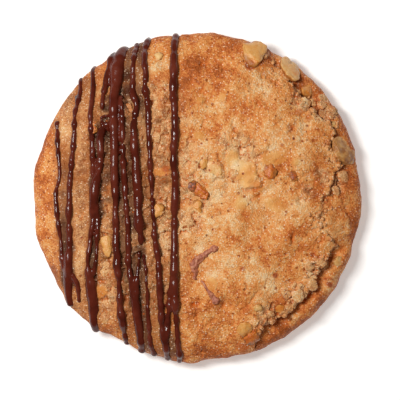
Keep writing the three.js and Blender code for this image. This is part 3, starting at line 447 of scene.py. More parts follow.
# The curl of nut skin, and the thread of it that runs on: (x, y, width) along each.
SKIN_ROUTES = (
    ((4.9, -11.4, 1.2), (3.5, -11.8, 1.3), (2.2, -12.7, 1.2), (0.8, -13.6, 1.3),
     (-0.6, -14.7, 1.6), (-1.1, -15.6, 1.7), (-0.8, -16.5, 1.3), (-0.3, -17.9, 0.9),
     (-0.8, -19.0, 0.7)),
    ((1.0, -18.8, 0.6), (1.7, -20.2, 0.6), (2.6, -21.5, 0.7), (3.5, -22.5, 1.2),
     (4.2, -23.3, 1.8), (4.5, -24.0, 1.4)),
)

# Patches where the crust is darker or paler, some from its baking and some painted shade: x, y,
# radius, change.
BROWNING_AND_SHADE_PATCHES = (
    (2.0, 30.0, 9.0, 0.22), (20.0, 20.0, 9.0, 0.03), (-2.0, 26.0, 6.0, 0.15),
    (5.0, 3.0, 8.0, -0.08), (-3.5, 11.0, 4.0, 0.15), (-6.0, 21.0, 6.0, 0.22),
    (-9.0, 28.0, 4.0, 0.15), (-16.0, 4.0, 12.0, 0.30), (13.0, 3.4, 1.8, 0.25),
    (9.4, 7.0, 2.4, -0.20), (-31.5, -2.0, 5.0, 0.10), (18.0, -12.0, 11.0, 0.06),
    (20.0, 8.0, 8.0, 0.03), (4.0, -30.0, 9.0, 0.18), (26.0, 5.0, 6.0, 0.05),
    (-35.0, 6.0, 7.0, 0.06), (-33.0, -14.0, 7.0, 0.04), (31.0, -21.0, 6.0, -0.08),
    (-21.4, -17.0, 3.0, 0.3), (20.4, -24.7, 3.0, 0.5), (-9.5, -9.0, 6.0, -0.18),
    (-14.0, -3.0, 4.0, -0.10), (-8.6, 19.3, 4.0, -0.16), (-8.3, 24.5, 3.0, 0.08),
    (-26.3, 5.0, 4.0, 0.3), (-26.3, -6.0, 4.0, 0.3), (-20.2, -9.0, 4.0, 0.35),
    (-20.4, -16.5, 3.0, 0.25), (-3.6, -9.5, 3.0, 0.1),
)

# Toasted spots, rust-coloured from 0.5 and nearly black at 1: x, y, radius, strength.
TOASTED_SPOTS = (
    (17.7, -17.7, 0.75, 0.62), (26.3, -13.1, 0.65, 0.75), (10.2, -16.2, 0.7, 0.5),
    (-1.2, 19.2, 0.4, 0.62), (10.4, -34.2, 1.4, 0.42), (9.4, -33.9, 0.9, 0.4),
    (23.0, 19.4, 1.0, 0.36), (25.3, 18.1, 0.9, 0.32), (-7.2, 6.5, 1.0, 0.5),
    (12.0, 30.3, 1.4, 0.75), (13.3, 30.6, 1.0, 0.45), (22.5, 28.3, 0.8, 0.5),
    (3.6, 8.0, 0.27, 1.0), (2.7, 6.2, 0.3, 0.9), (10.3, 5.4, 0.27, 1.0), (21.9, 13.4, 0.35, 0.95),
    (15.5, 13.0, 0.25, 0.85), (0.9, 12.2, 0.28, 0.85), (21.2, 4.7, 0.3, 1.0),
    (-3.1, -6.8, 0.26, 0.8), (-0.7, -5.5, 0.25, 0.8), (0.5, -4.3, 0.22, 0.8),
    (3.5, -7.3, 0.24, 0.8), (20.1, -12.9, 0.28, 0.9), (-1.4, 2.8, 0.5, 0.9),
    (-1.5, 1.8, 0.3, 0.85), (21.4, -1.5, 0.28, 0.6), (20.0, -4.0, 0.26, 0.6),
    (20.7, -5.1, 0.22, 0.5), (20.9, -6.3, 0.22, 0.5), (4.3, 14.2, 0.4, 0.45),
    (26.5, 13.0, 0.4, 0.5), (19.2, 11.9, 0.5, 0.45), (-26.3, -9.1, 0.3, 0.8),
    (-20.9, -1.4, 0.25, 0.75), (-7.1, 5.2, 0.3, 0.95), (-8.3, -0.4, 0.9, 0.35),
    (-20.4, -15.5, 0.4, 0.4), (1.1, 8.9, 0.3, 0.5), (0.4, 6.9, 0.35, 0.85),
    (16.5, 5.6, 0.9, 0.55), (30.2, -19.9, 0.7, 0.66), (29.8, -18.9, 0.45, 0.6),
    (30.6, -18.6, 0.35, 0.55),
)

# Smooth noise, by what it sways: the height, wavelength and offset of each of its layers.
NOISE_LAYERS = {
    "broken edge": ((0.55, 1.7, 7.0), (0.18, 0.75, 3.0)),
    "foot crack": ((0.35, 2.1, 11.0),),
    "fine cracks": ((0.6, 1.1, 43.0),),
    "lifted edges": ((0.8, 1.3, 47.0),),
    "amber patches": ((0.35, 1.6, 71.0),),
    "bare crumb": ((0.45, 2.4, 31.0),),
    "browning": ((0.24, 7.0, 61.0), (0.34, 3.2, 65.0), (0.18, 1.7, 67.0)),
    "swell": ((0.26, 5.2, 1.0), (0.26, 2.6, 2.0)),
    "sand": ((1.0, 1.15, 5.0), (0.8, 0.7, 9.0)),
    "facet x": ((0.15, 0.95, 51.0), (0.4, 2.6, 53.0)),
    "facet y": ((0.15, 0.95, 55.0), (0.4, 2.6, 57.0)),
    "facet z": ((0.15, 0.95, 58.0), (0.4, 2.6, 60.0)),
}

# Facets of the torn crumb, and the smaller ones on them.
FACET_SIZE = 2.0
SMALL_FACET_SIZE = 0.95
SMALL_FACET_SHARE = 0.45

# A strand with at least this many points browns the crust beside it up to this distance, with
# fat stain and painted shade.  Most of those with fewer are short splashes.
FAT_AND_SHADE_POINTS = 5
FAT_AND_SHADE_REACH = 4.0

# Strands: the step along one, the lengths of its knots and waves, and how far it sways.
STRAND_STEP = 0.4
KNOT_LENGTH = 1.5
WAVE_LENGTH = 2.6
STRAND_SWAY = 0.24

# The nut skin: how much of its width lies in the crust, the grid size that runs it
# together, and the size and height of its wrinkles.
SKIN_SINK = 0.66
SKIN_VOXEL = 0.14
WRINKLE_SIZE = 0.7
WRINKLE_HEIGHT = 0.28

# The underside: how brown it baked, and its rings, as shares of the foot's radius.
UNDERSIDE_BROWNING = 0.75
UNDERSIDE_RINGS = (0.985, 0.95, 0.88, 0.76, 0.6, 0.4, 0.2)

# The studio: how far the floor lies under the cookie and the camera beside its middle, and
# in metres the place and size of the key light and the point that it shines at.
FLOOR_GAP = 0.02
CAMERA_SHIFT = 0.57
KEY_PLACE = (-0.23, 0.10, 0.54)
KEY_SIZE = (0.12, 0.22)
KEY_TARGET = (0, 0, 0.008)

# Numbers that start the random draws.
HOLE_SEED, NUT_SEED, KERNEL_SEED, CRUMB_SEED, SKIN_SEED = 11, 5, 3, 23, 7


# ------------------------------------------------------------------ small helpers


def linear(hex_colour):
    """An sRGB hex colour, such as "c0ffee", as linear RGBA."""
    parts = [int(hex_colour[i:i + 2], 16) / 255 for i in (0, 2, 4)]
    return (*(c / 12.92 if c <= 0.04045 else ((c + 0.055) / 1.055) ** 2.4 for c in parts), 1.0)


def smoothstep(low, high, x):
    """0 below low, 1 above high, and a smooth rise between them."""
    t = np.clip((x - low) / (high - low), 0, 1)
    return t * t * (3 - 2 * t)


def hump(distance):
    """A hump of height 1 at 0 that falls smoothly to 0 at distance 2."""
    return np.exp(-2 * distance * distance)


def layered_noise(places, use):
    """Smooth noise at places in millimetres: the sum of the layers listed for a use."""
    total = np.zeros(len(places))
    for height, wavelength, offset in NOISE_LAYERS[use]:
        shift = Vector((offset, 2 * offset, 3 * offset))
        total += height * np.array([noise.noise(Vector(p) / wavelength + shift) for p in places])
    return total


def facet_height(scaled, centre):
    """Level that a whole facet shares, and the height of a place on its tilted plane."""
    level = noise.cell(centre * 7.3)
    tilt = noise.cell_vector(centre * 9.7) - Vector((0.5, 0.5, 0.5))
    return level, 0.5 * level + 1.5 * tilt.dot(scaled - centre)


def facets_at(places, size):
    """Broken facets of about `size` millimetres, each tilted its own way.  For each place:
    its height on its facet, a level that the whole facet shares, both from about -1 to 1,
    and how far it stands over the next facet, positive on a rim and negative at a foot."""
    heights, levels, rims = (np.zeros(len(places)) for _ in range(3))
    for i, place in enumerate(places):
        scaled = Vector(place) / size
        distances, centres = noise.voronoi(scaled)
        levels[i], heights[i] = facet_height(scaled, centres[0])
        step = heights[i] - facet_height(scaled, centres[1])[1]
        rims[i] = step * smoothstep(0.24, 0.0, distances[1] - distances[0])
    return heights, levels, rims


def beside_route(points, route):
    """For each 2-D point: its distance from a line through the route's points, positive
    on the left of it, and the share of the line that lies behind the nearest place."""
    line = np.array(route, dtype=float)[:, :2]
    lengths = np.hypot(*np.diff(line, axis=0).T)
    best, signed, share = np.full(len(points), 1e9), np.zeros(len(points)), np.zeros(len(points))
    behind = 0.0
    for a, b, length in zip(line[:-1], line[1:], lengths):
        ahead = (b - a) / length
        along = np.clip((points - a) @ ahead, 0, length)
        off = points - a - along[:, None] * ahead
        distance = np.hypot(*off.T)
        nearer = distance < best
        side = np.where(ahead[0] * off[:, 1] - ahead[1] * off[:, 0] >= 0, 1, -1)
        best = np.where(nearer, distance, best)
        signed = np.where(nearer, side * distance, signed)
        share = np.where(nearer, (behind + along) / lengths.sum(), share)
        behind += length
    return signed, share


def near_route(points, route, reach):
    """Numbers of the points within reach of the box round a route."""
    low, high = np.min(route, axis=0)[:2] - reach, np.max(route, axis=0)[:2] + reach
    return np.where(np.all((points > low) & (points < high), axis=1))[0]


def polar_row(table, place):
    """A table's columns, read at each place's direction: rows are (degrees, ...) and fall."""
    rows = np.array(table[::-1], dtype=float)
    degrees = np.degrees(np.arctan2(place[:, 1], place[:, 0]))
    inside = (degrees > rows[0, 0]) & (degrees < rows[-1, 0])
    columns = [np.interp(degrees, rows[:, 0], column) for column in rows.T[1:]]
    return inside, columns


def keep(obj):
    """Parents a finished piece to the one body and hides the solid that it stands for."""
    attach(obj, "root")
    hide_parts("cookie")


def mesh_from(bm, name):
    """Turns a finished bmesh into a mesh."""
    mesh = bpy.data.meshes.new(name)
    bm.to_mesh(mesh)
    bm.free()
    return mesh


def object_from(name, mesh, material):
    """A linked object with its material, smooth shaded."""
    obj = bpy.data.objects.new(name, mesh)
    bpy.context.scene.collection.objects.link(obj)
    mesh.materials.append(material)
    mesh.shade_smooth()
    return obj


def set_attributes(mesh, values):
    """Stores numbers for each vertex, by name, for the material to read."""
    for name, numbers in values.items():
        attribute = mesh.attributes.new(name, "FLOAT", "POINT")
        attribute.data.foreach_set("value", np.asarray(numbers, dtype=np.float32))


# ------------------------------------------------------------------ the cookie's form


def half_section():
    """Distance along the crust from the crown, radius and height of the half section: a
    dome down to the waist, then a side that curves in to the foot."""
    turn = np.linspace(0, math.pi / 2, 241)
    radius = np.sin(turn) ** (2 / DOME_FLATNESS) * RADIUS
    rise = np.abs(np.cos(turn)) ** (2 / SHOULDER_ROUNDNESS)
    height = WAIST_HEIGHT + (CROWN_HEIGHT - WAIST_HEIGHT) * rise
    drop = np.linspace(0, 1, 41)[1:]
    radius = np.concatenate([radius, RADIUS - FOOT_INSET * drop ** 2.5])
    height = np.concatenate([height, WAIST_HEIGHT * (1 - drop)])
    steps = np.hypot(np.diff(radius), np.diff(height))
    return np.concatenate([[0], np.cumsum(steps)]), radius, height


SECTION_S, SECTION_R, SECTION_Z = half_section()
SECTION_LENGTH = SECTION_S[-1]
WAIST_INDEX = int(np.argmax(SECTION_R))


def edge_radius(angle):
    """Radius of the widest edge in a direction in radians."""
    degrees = np.degrees(angle) % 360
    radius = np.full(np.shape(angle), RADIUS, dtype=float)
    for direction, half_width, rise in EDGE_BULGES:
        away = np.abs(degrees - direction) % 360
        radius += rise * hump(np.minimum(away, 360 - away) / half_width)
    return radius


def rolled_out(x, y):
    """The top and side are worked on as if rolled out flat: a point of that flat disc is
    as far from its middle as the crust is from the crown, measured along the crust."""
    points = np.column_stack([np.atleast_1d(x), np.atleast_1d(y)]).astype(float)
    distance = np.hypot(points[:, 0], points[:, 1]) + 1e-9
    edge = edge_radius(np.arctan2(points[:, 1], points[:, 0]))
    top = slice(0, WAIST_INDEX + 1)
    along = np.interp(distance * RADIUS / edge, SECTION_R[top], SECTION_S[top])
    return points * (along / distance)[:, None]


def broad_relief(flat):
    """Height of the broad waves and dents over the plain section."""
    height = np.zeros(len(flat))
    for wavelength, direction, phase, rise in CRUST_WAVES:
        angle = math.radians(direction)
        along = flat[:, 0] * math.cos(angle) + flat[:, 1] * math.sin(angle)
        height += rise * np.sin(2 * math.pi * along / wavelength + math.radians(phase))
    for x, y, radius, rise in CRUST_DENTS:
        height += rise * hump(np.hypot(flat[:, 0] - x, flat[:, 1] - y) / radius)
    share = np.hypot(flat[:, 0], flat[:, 1]) / SECTION_LENGTH
    return height * (1 - smoothstep(0.82, 0.96, share))


def crust_at(flat):
    """Place and outward direction of the crust, without its fine relief."""
    along = np.minimum(np.hypot(flat[:, 0], flat[:, 1]), SECTION_LENGTH)
    angle = np.arctan2(flat[:, 1], flat[:, 0])
    slope_r = np.gradient(SECTION_R, SECTION_S)
    slope_z = np.gradient(SECTION_Z, SECTION_S)
    run = np.interp(along, SECTION_S, slope_r)
    fall = np.interp(along, SECTION_S, slope_z)
    radius = np.interp(along, SECTION_S, SECTION_R) * edge_radius(angle) / RADIUS
    cos, sin = np.cos(angle), np.sin(angle)
    normal = np.column_stack([-fall * cos, -fall * sin, run])
    place = np.column_stack([radius * cos, radius * sin, np.interp(along, SECTION_S, SECTION_Z)])
    return place + normal * broad_relief(flat)[:, None], normal


def ledge_fall(place):
    """How far the broken edge lowers the crust at a place, and how near its wall is."""
    inside, (edge, drop) = polar_row(FLAKE_EDGE, place)
    distance = np.hypot(place[:, 0], place[:, 1])
    beyond = distance - edge + layered_noise(place, "broken edge")
    run_out = 1 - smoothstep(RADIUS - 3, RADIUS, distance)
    wall = np.where(inside, drop / LEDGE_DROP * np.exp(-((beyond - 0.1) / 0.5) ** 2), 0)
    return np.where(inside, drop * smoothstep(-0.1, 0.35, beyond) * run_out, 0), wall


def crack_fall(place):
    """Depth of the crack at the foot of the broken edge, and height of the lip beside it."""
    inside, (middle, width, depth) = polar_row(FOOT_CRACK, place)
    distance = np.hypot(place[:, 0], place[:, 1])
    across = (distance - middle - layered_noise(place, "foot crack")) / (width / 2)
    lip = LIP_RISE * np.exp(-((distance - LIP_RADIUS) / LIP_WIDTH) ** 2) * np.minimum(depth, 1)
    return np.where(inside, depth * np.exp(-across ** 2), 0), np.where(inside, lip, 0)


# ------------------------------------------------------------------ node helpers


def new_material(name, constants):
    """A node material whose Principled shader has the given constants on its own inputs.
    Returns it with its tree, its shader and the Object coordinates for its patterns."""
    material = bpy.data.materials.new(name)
    material.use_nodes = True
    tree = material.node_tree
    tree.nodes.clear()
    shader = add_node(tree, "ShaderNodeBsdfPrincipled", sockets=constants)
    add_node(tree, "ShaderNodeOutputMaterial", links={"Surface": shader.outputs["BSDF"]})
    return material, tree, shader, add_node(tree, "ShaderNodeTexCoord").outputs["Object"]


def add_node(tree, kind, links=None, sockets=None, stops=(), **settings):
    """Adds a node.  `settings` are its own properties, `sockets` the values of its inputs
    by name or number, `links` what feeds its inputs, and `stops` the (position, linear
    colour) pairs of a colour ramp.  By number, a Map Range takes 1..2 to 3..4, and a Mix
    has its two colours at 6 and 7, or its two values at 2 and 3."""
    node = tree.nodes.new(kind)
    for key, value in settings.items():
        setattr(node, key, value)
    for key, value in (sockets or {}).items():
        node.inputs[key].default_value = value
    for key, source in (links or {}).items():
        tree.links.new(source, node.inputs[key])
    for number, (position, colour) in enumerate(stops):
        if number >= len(node.color_ramp.elements):
            node.color_ramp.elements.new(position)
        node.color_ramp.elements[number].position = position
        node.color_ramp.elements[number].color = colour
    return node


def pattern_scale(size_mm):
    """The Scale of a noise or cell texture on Object coordinates whose features are
    size_mm across."""
    return 1 / (size_mm * MM)


# ------------------------------------------------------------------ materials


def baked_crust_material(colours):
    """Butter dough baked until golden.  The butterfat and sugar brown where the crust is high and
    thin, and stay pale and sandy where it is thick.  The surface is dry and grainy, with
    pinholes where steam left, crumb where the skin tore, and a faint sheen of butter.  Its
    recesses and the gaps between the strands carry painted shade."""
    material, tree, shader, where = new_material("Baked butter dough", {
        "Specular IOR Level": 0.28, "Subsurface Weight": 0.15,
        "Subsurface Radius": (1.0, 0.95, 0.85), "Subsurface Scale": 0.35 * MM})
    browning, recess_shade, toast, crumb, glaze, fat_stain_and_shade = (
        add_node(tree, "ShaderNodeAttribute", attribute_name=name).outputs["Fac"]
        for name in CRUST_ATTRIBUTES)

    blotch = add_node(tree, "ShaderNodeTexNoise", links={"Vector": where}, sockets={
        "Scale": pattern_scale(3.2), "Detail": 4.0, "Roughness": 0.6}).outputs["Fac"]
    grain = add_node(tree, "ShaderNodeTexNoise", links={"Vector": where}, sockets={
        "Scale": pattern_scale(0.9), "Detail": 3.0, "Roughness": 0.7}).outputs["Fac"]
    # bent coordinates, so that grains and holes get uneven outlines
    bent = add_node(tree, "ShaderNodeTexNoise", links={"Vector": where}, sockets={
        "Scale": pattern_scale(0.3), "Detail": 2.0}).outputs["Color"]
    bent = add_node(tree, "ShaderNodeVectorMath", operation="MULTIPLY_ADD", links={
        0: bent, 2: where}, sockets={1: (0.32 * MM,) * 3}).outputs[0]
    # crystals of sugar and flour of 0.1 mm, drawn at 0.38 mm so that they show
    crystals = add_node(tree, "ShaderNodeTexVoronoi", links={"Vector": bent}, sockets={
        "Scale": pattern_scale(0.38)})
    crystal_edge = crystals.outputs["Distance"]
    crystal_pick = add_node(tree, "ShaderNodeSeparateColor", links={
        0: crystals.outputs["Color"]})

    # blotches, grains and crystals shift the browning to both sides, less under a glaze
    plain = add_node(tree, "ShaderNodeMapRange", links={0: glaze}, sockets={
        1: 0.0, 2: 1.0, 3: 1.0, 4: 0.5}).outputs[0]
    shift = add_node(tree, "ShaderNodeMath", operation="MULTIPLY_ADD", links={
        0: blotch}, sockets={1: 0.75, 2: -0.375}).outputs[0]
    for part, amount in ((grain, -0.75), (crystal_pick.outputs[0], 0.26), (crystal_edge, 0.46)):
        shift = add_node(tree, "ShaderNodeMath", operation="MULTIPLY_ADD", links={
            0: part, 2: shift}, sockets={1: amount}).outputs[0]
    shift = add_node(tree, "ShaderNodeMath", operation="ADD", links={
        0: shift}, sockets={1: 0.04}).outputs[0]
    browned = add_node(tree, "ShaderNodeMath", operation="MULTIPLY_ADD", links={
        0: shift, 1: plain, 2: browning}).outputs[0]
    crust = add_node(tree, "ShaderNodeValToRGB", links={0: browned}, stops=(
        (0.0, linear("efcc9c")), (0.25, colours.crust_pale), (0.5, colours.crust_gold),
        (0.75, colours.crust_brown), (1.0, linear("9c4e16")))).outputs["Color"]

    # torn crumb is paler and less red
    torn = add_node(tree, "ShaderNodeValToRGB", links={0: browned}, stops=(
        (0.05, linear("ecca98")), (0.4, colours.crumb), (0.7, linear("c48e5e")),
        (1.0, linear("985c30")))).outputs["Color"]
    mixed = add_node(tree, "ShaderNodeMix", data_type="RGBA", links={
        0: crumb, 6: crust, 7: torn}).outputs[2]
    amber = add_node(tree, "ShaderNodeValToRGB", links={0: browning}, stops=(
        (0.0, linear("eac894")), (0.2, linear("e5ae68")), (0.5, linear("d48a40")))).outputs["Color"]
    glazed = add_node(tree, "ShaderNodeMix", data_type="RGBA", links={
        0: glaze, 6: mixed, 7: amber}).outputs[2]

    # toasted spots turn reddish brown, then nearly black
    char = add_node(tree, "ShaderNodeValToRGB", links={0: toast}, stops=(
        (0.4, linear("bc5e26")), (0.65, linear("963c14")), (0.95, linear("201512"))))
    spot = add_node(tree, "ShaderNodeMapRange", links={0: toast}, sockets={
        1: 0.05, 2: 0.5, 3: 0.0, 4: 0.9}).outputs[0]
    spotted = add_node(tree, "ShaderNodeMix", data_type="RGBA", links={
        0: spot, 6: glazed, 7: char.outputs["Color"]}).outputs[2]
    # painted shade: the crumb is drawn darker and warm orange down in its pores, cracks and
    # crevices, as light scattered in it would show there
    deep = add_node(tree, "ShaderNodeMix", data_type="RGBA", links={
        0: recess_shade, 6: spotted}, sockets={7: linear("c65e12")}).outputs[2]
    # fat from the chocolate turns the dough beside it amber; the brown to nearly black past that is
    # painted shade, in the gaps between the strands and in the hollows
    fat_and_shade_ramp = add_node(tree, "ShaderNodeValToRGB", links={0: fat_stain_and_shade}, stops=(
        (0.3, linear("c8722a")), (0.7, linear("7c4a2a")), (0.95, linear("3e1c0e"))))
    fat_and_shade_amount = add_node(tree, "ShaderNodeMapRange", links={0: fat_stain_and_shade}, sockets={
        1: 0.1, 2: 0.75, 3: 0.0, 4: 0.92}).outputs[0]
    deep = add_node(tree, "ShaderNodeMix", data_type="RGBA", links={
        0: fat_and_shade_amount, 6: deep, 7: fat_and_shade_ramp.outputs["Color"]}).outputs[2]

    # pinholes: one in each cell of 1.2 mm, of which two in five are wider, painted dark as the
    # shade down in them
    pores = add_node(tree, "ShaderNodeTexVoronoi", links={"Vector": bent}, sockets={
        "Scale": pattern_scale(1.2)})
    chosen = add_node(tree, "ShaderNodeSeparateColor", links={0: pores.outputs["Color"]})
    size = add_node(tree, "ShaderNodeMapRange", links={0: chosen.outputs[0]}, sockets={
        1: 0.60, 2: 1.0, 3: 0.08, 4: 0.30}).outputs[0]
    size = add_node(tree, "ShaderNodeMath", operation="MULTIPLY_ADD", links={
        0: glaze, 2: size}, sockets={1: -0.25}).outputs[0]
    hole = add_node(tree, "ShaderNodeMath", operation="SUBTRACT", links={
        0: size, 1: pores.outputs["Distance"]}).outputs[0]
    hole = add_node(tree, "ShaderNodeMapRange", links={0: hole}, sockets={
        1: 0.0, 2: 0.06, 3: 0.0, 4: 0.85}).outputs[0]
    pored = add_node(tree, "ShaderNodeMix", data_type="RGBA", links={
        0: hole, 6: deep}, sockets={7: linear("a84e10")}).outputs[2]

    # one crystal in five is pale and clear, less so where the crust is glazed or brown; their
    # near-white colour is pale sugar and partly a painted glint
    pale = add_node(tree, "ShaderNodeMapRange", links={0: crystal_pick.outputs[1]}, sockets={
        1: 0.74, 2: 0.88, 3: 0.0, 4: 0.85}).outputs[0]
    clear = add_node(tree, "ShaderNodeMapRange", links={0: crystal_edge}, sockets={
        1: 0.5, 2: 0.2, 3: 0.0, 4: 1.0}).outputs[0]
    faded = add_node(tree, "ShaderNodeMapRange", links={0: browned}, sockets={
        1: 0.45, 2: 0.9, 3: 1.0, 4: 0.35}).outputs[0]
    sugar_and_glints = pale
    for share in (clear, plain, faded):
        sugar_and_glints = add_node(tree, "ShaderNodeMath", operation="MULTIPLY", links={
            0: sugar_and_glints, 1: share}).outputs[0]
    sugar_and_glint_colour = add_node(tree, "ShaderNodeMix", data_type="RGBA", links={
        0: sugar_and_glints, 6: pored}, sockets={7: linear("ffe4c6")}).outputs[2]
    tree.links.new(sugar_and_glint_colour, shader.inputs["Base Color"])

    # the clear crystals catch the light
    rough = add_node(tree, "ShaderNodeMapRange", links={0: grain}, sockets={
        1: 0.3, 2: 0.7, 3: 0.45, 4: 0.72}).outputs[0]
    rough = add_node(tree, "ShaderNodeMix", data_type="FLOAT", links={
        0: sugar_and_glints, 2: rough}, sockets={3: 0.16}).outputs[0]
    tree.links.new(rough, shader.inputs["Roughness"])

    # crystals over lumps of 0.9 mm, and the pinholes sunk in
    lumps = add_node(tree, "ShaderNodeBump", links={"Height": grain}, sockets={
        "Strength": 0.9, "Distance": 0.24 * MM}).outputs[0]
    gritty = add_node(tree, "ShaderNodeBump", invert=True, links={
        "Height": crystal_edge, "Normal": lumps, "Strength": plain}, sockets={
        "Distance": 0.17 * MM}).outputs[0]
    holed = add_node(tree, "ShaderNodeBump", invert=True, links={
        "Height": hole, "Normal": gritty}, sockets={
        "Strength": 0.8, "Distance": 0.25 * MM}).outputs[0]
    tree.links.new(holed, shader.inputs["Normal"])
    return material


def chopped_nut_material(colours):
    """Chopped almond and hazelnut, toasted in the oven: waxy, slightly translucent flesh
    with a fine grain, and browner the more toasted the piece is."""
    material, tree, shader, where = new_material("Toasted chopped nut", {
        "Roughness": 0.34, "Specular IOR Level": 0.45, "Subsurface Weight": 0.06,
        "Subsurface Radius": (1.0, 0.95, 0.85), "Subsurface Scale": 0.4 * MM})
    tone, foot = (add_node(tree, "ShaderNodeAttribute", attribute_name=name).outputs["Fac"]
                  for name in ("tone", "foot"))
    cloud = add_node(tree, "ShaderNodeTexNoise", links={"Vector": where}, sockets={
        "Scale": pattern_scale(0.8), "Detail": 5.0, "Roughness": 0.75}).outputs["Fac"]
    shifted = add_node(tree, "ShaderNodeMath", operation="MULTIPLY_ADD", links={
        0: cloud, 2: tone}, sockets={1: 1.1}).outputs[0]
    shifted = add_node(tree, "ShaderNodeMath", operation="SUBTRACT", links={
        0: shifted}, sockets={1: 0.55}).outputs[0]
    flesh = add_node(tree, "ShaderNodeValToRGB", links={0: shifted}, stops=(
        (0.0, linear("eccb92")), (0.3, colours.nut_flesh), (0.6, linear("d88c3a")),
        (0.85, linear("c25a10")), (1.0, linear("7a4a38")))).outputs["Color"]
    # painted shade: the flesh darkens where it meets the dough
    footed = add_node(tree, "ShaderNodeMix", data_type="RGBA", links={
        0: foot, 6: flesh}, sockets={7: linear("a8662c")}).outputs[2]
    tree.links.new(footed, shader.inputs["Base Color"])
    grain = add_node(tree, "ShaderNodeTexNoise", links={"Vector": where}, sockets={
        "Scale": pattern_scale(0.8), "Detail": 4.0, "Roughness": 0.75}).outputs["Fac"]
    bump = add_node(tree, "ShaderNodeBump", links={"Height": grain}, sockets={
        "Strength": 0.8, "Distance": 0.2 * MM}).outputs[0]
    tree.links.new(bump, shader.inputs["Normal"])
    return material


def kernel_material():
    """A walnut half kernel glazed by its own oil: darker, translucent and shiny."""
    material, tree, shader, where = new_material("Oily walnut kernel", {
        "Roughness": 0.40, "Subsurface Weight": 0.1, "Subsurface Radius": (1.0, 0.7, 0.4),
        "Subsurface Scale": 0.5 * MM})
    cloud = add_node(tree, "ShaderNodeTexNoise", links={"Vector": where}, sockets={
        "Scale": pattern_scale(1.5), "Detail": 4.0, "Roughness": 0.6}).outputs["Fac"]
    flesh = add_node(tree, "ShaderNodeValToRGB", links={0: cloud}, stops=(
        (0.3, linear("8c5224")), (0.5, linear("b47a3e")), (0.7, linear("daa868"))))
    tree.links.new(flesh.outputs["Color"], shader.inputs["Base Color"])
    bump = add_node(tree, "ShaderNodeBump", links={"Height": cloud}, sockets={
        "Strength": 0.5, "Distance": 0.3 * MM}).outputs[0]
    tree.links.new(bump, shader.inputs["Normal"])
    return material


def nut_skin_material(colours):
    """The papery brown skin of an almond, wetted and baked on: matt and reddish."""
    material, tree, shader, where = new_material("Almond skin", {"Roughness": 0.55})
    fibre = add_node(tree, "ShaderNodeTexNoise", links={"Vector": where}, sockets={
        "Scale": pattern_scale(0.6), "Detail": 4.0, "Roughness": 0.65}).outputs["Fac"]
    colour = add_node(tree, "ShaderNodeValToRGB", links={0: fibre}, stops=(
        (0.3, linear("7c3c2c")), (0.5, colours.nut_skin), (0.7, linear("d09874"))))
    tree.links.new(colour.outputs["Color"], shader.inputs["Base Color"])
    bump = add_node(tree, "ShaderNodeBump", links={"Height": fibre}, sockets={
        "Strength": 0.6, "Distance": 0.2 * MM}).outputs[0]
    tree.links.new(bump, shader.inputs["Normal"])
    return material


def dark_chocolate_material(colours):
    """Dark couverture poured from a fork and set at room temperature: reddish brown, nearly
    black in its own shade, with a skin that is glossy where it ran and satin where it
    bloomed a little."""
    material, tree, shader, where = new_material("Set dark couverture", {
        "IOR": 1.46, "Specular IOR Level": 0.34})
    cloud = add_node(tree, "ShaderNodeTexNoise", links={"Vector": where}, sockets={
        "Scale": pattern_scale(4.0), "Detail": 3.0, "Roughness": 0.5}).outputs["Fac"]
    colour = add_node(tree, "ShaderNodeValToRGB", links={0: cloud}, stops=(
        (0.3, linear("431207")), (0.5, colours.chocolate), (0.75, linear("682a1a"))))
    tree.links.new(colour.outputs["Color"], shader.inputs["Base Color"])
    rough = add_node(tree, "ShaderNodeMapRange", links={0: cloud}, sockets={
        1: 0.35, 2: 0.65, 3: 0.15, 4: 0.27}).outputs[0]
    tree.links.new(rough, shader.inputs["Roughness"])
    ripple = add_node(tree, "ShaderNodeTexNoise", links={"Vector": where}, sockets={
        "Scale": pattern_scale(1.2), "Detail": 2.0, "Roughness": 0.5}).outputs["Fac"]
    bump = add_node(tree, "ShaderNodeBump", links={"Height": ripple}, sockets={
        "Strength": 0.40, "Distance": 0.3 * MM}).outputs[0]
    tree.links.new(bump, shader.inputs["Normal"])
    return material


def light_table_material():
    """Opal acrylic, lit from below as on a photographer's table: matt and nearly white."""
    material, tree, shader, where = new_material("Opal acrylic", {
        "Roughness": 0.9, "Specular IOR Level": 0.1, "Emission Color": (1, 1, 1, 1),
        "Emission Strength": 0.35})
    frost = add_node(tree, "ShaderNodeTexNoise", links={"Vector": where}, sockets={
        "Scale": pattern_scale(2.0), "Detail": 3.0}).outputs["Fac"]
    colour = add_node(tree, "ShaderNodeValToRGB", links={0: frost}, stops=(
        (0.3, linear("e6e6e6")), (0.7, linear("e9e9e9"))))
    tree.links.new(colour.outputs["Color"], shader.inputs["Base Color"])
    return material


# ------------------------------------------------------------------ properties


class CookieSizes(bpy.types.PropertyGroup):
    """Sizes of the cookie's make."""

    crust_steps: IntProperty(
        name="Crust Detail", description="Squares along each side of the crust's net",
        default=298, min=40, max=300)
    crumb_height: FloatProperty(
        name="Crumb Height", description="Height of the sandy crumb on the crust",
        default=0.06 * MM, unit="LENGTH", subtype="DISTANCE")
    torn_height: FloatProperty(
        name="Torn Crumb Height", description="Height of the facets where the crumb is bare",
        default=1.05 * MM, unit="LENGTH", subtype="DISTANCE")
    small_holes: IntProperty(
        name="Small Holes", description="Number of extra steam holes in the top crust",
        default=260)
    loose_crumbs: IntProperty(
        name="Broken Crumbs", description="Number of small crumbs along the broken edge",
        default=150)
    strand_sink: FloatProperty(
        name="Strand Sink", description="How much of a strand's width lies in the crust",
        default=0.28, min=0, max=1)
    strand_voxel: FloatProperty(
        name="Chocolate Detail", description="Grid size that runs the strands together",
        default=0.215 * MM, unit="LENGTH", subtype="DISTANCE")


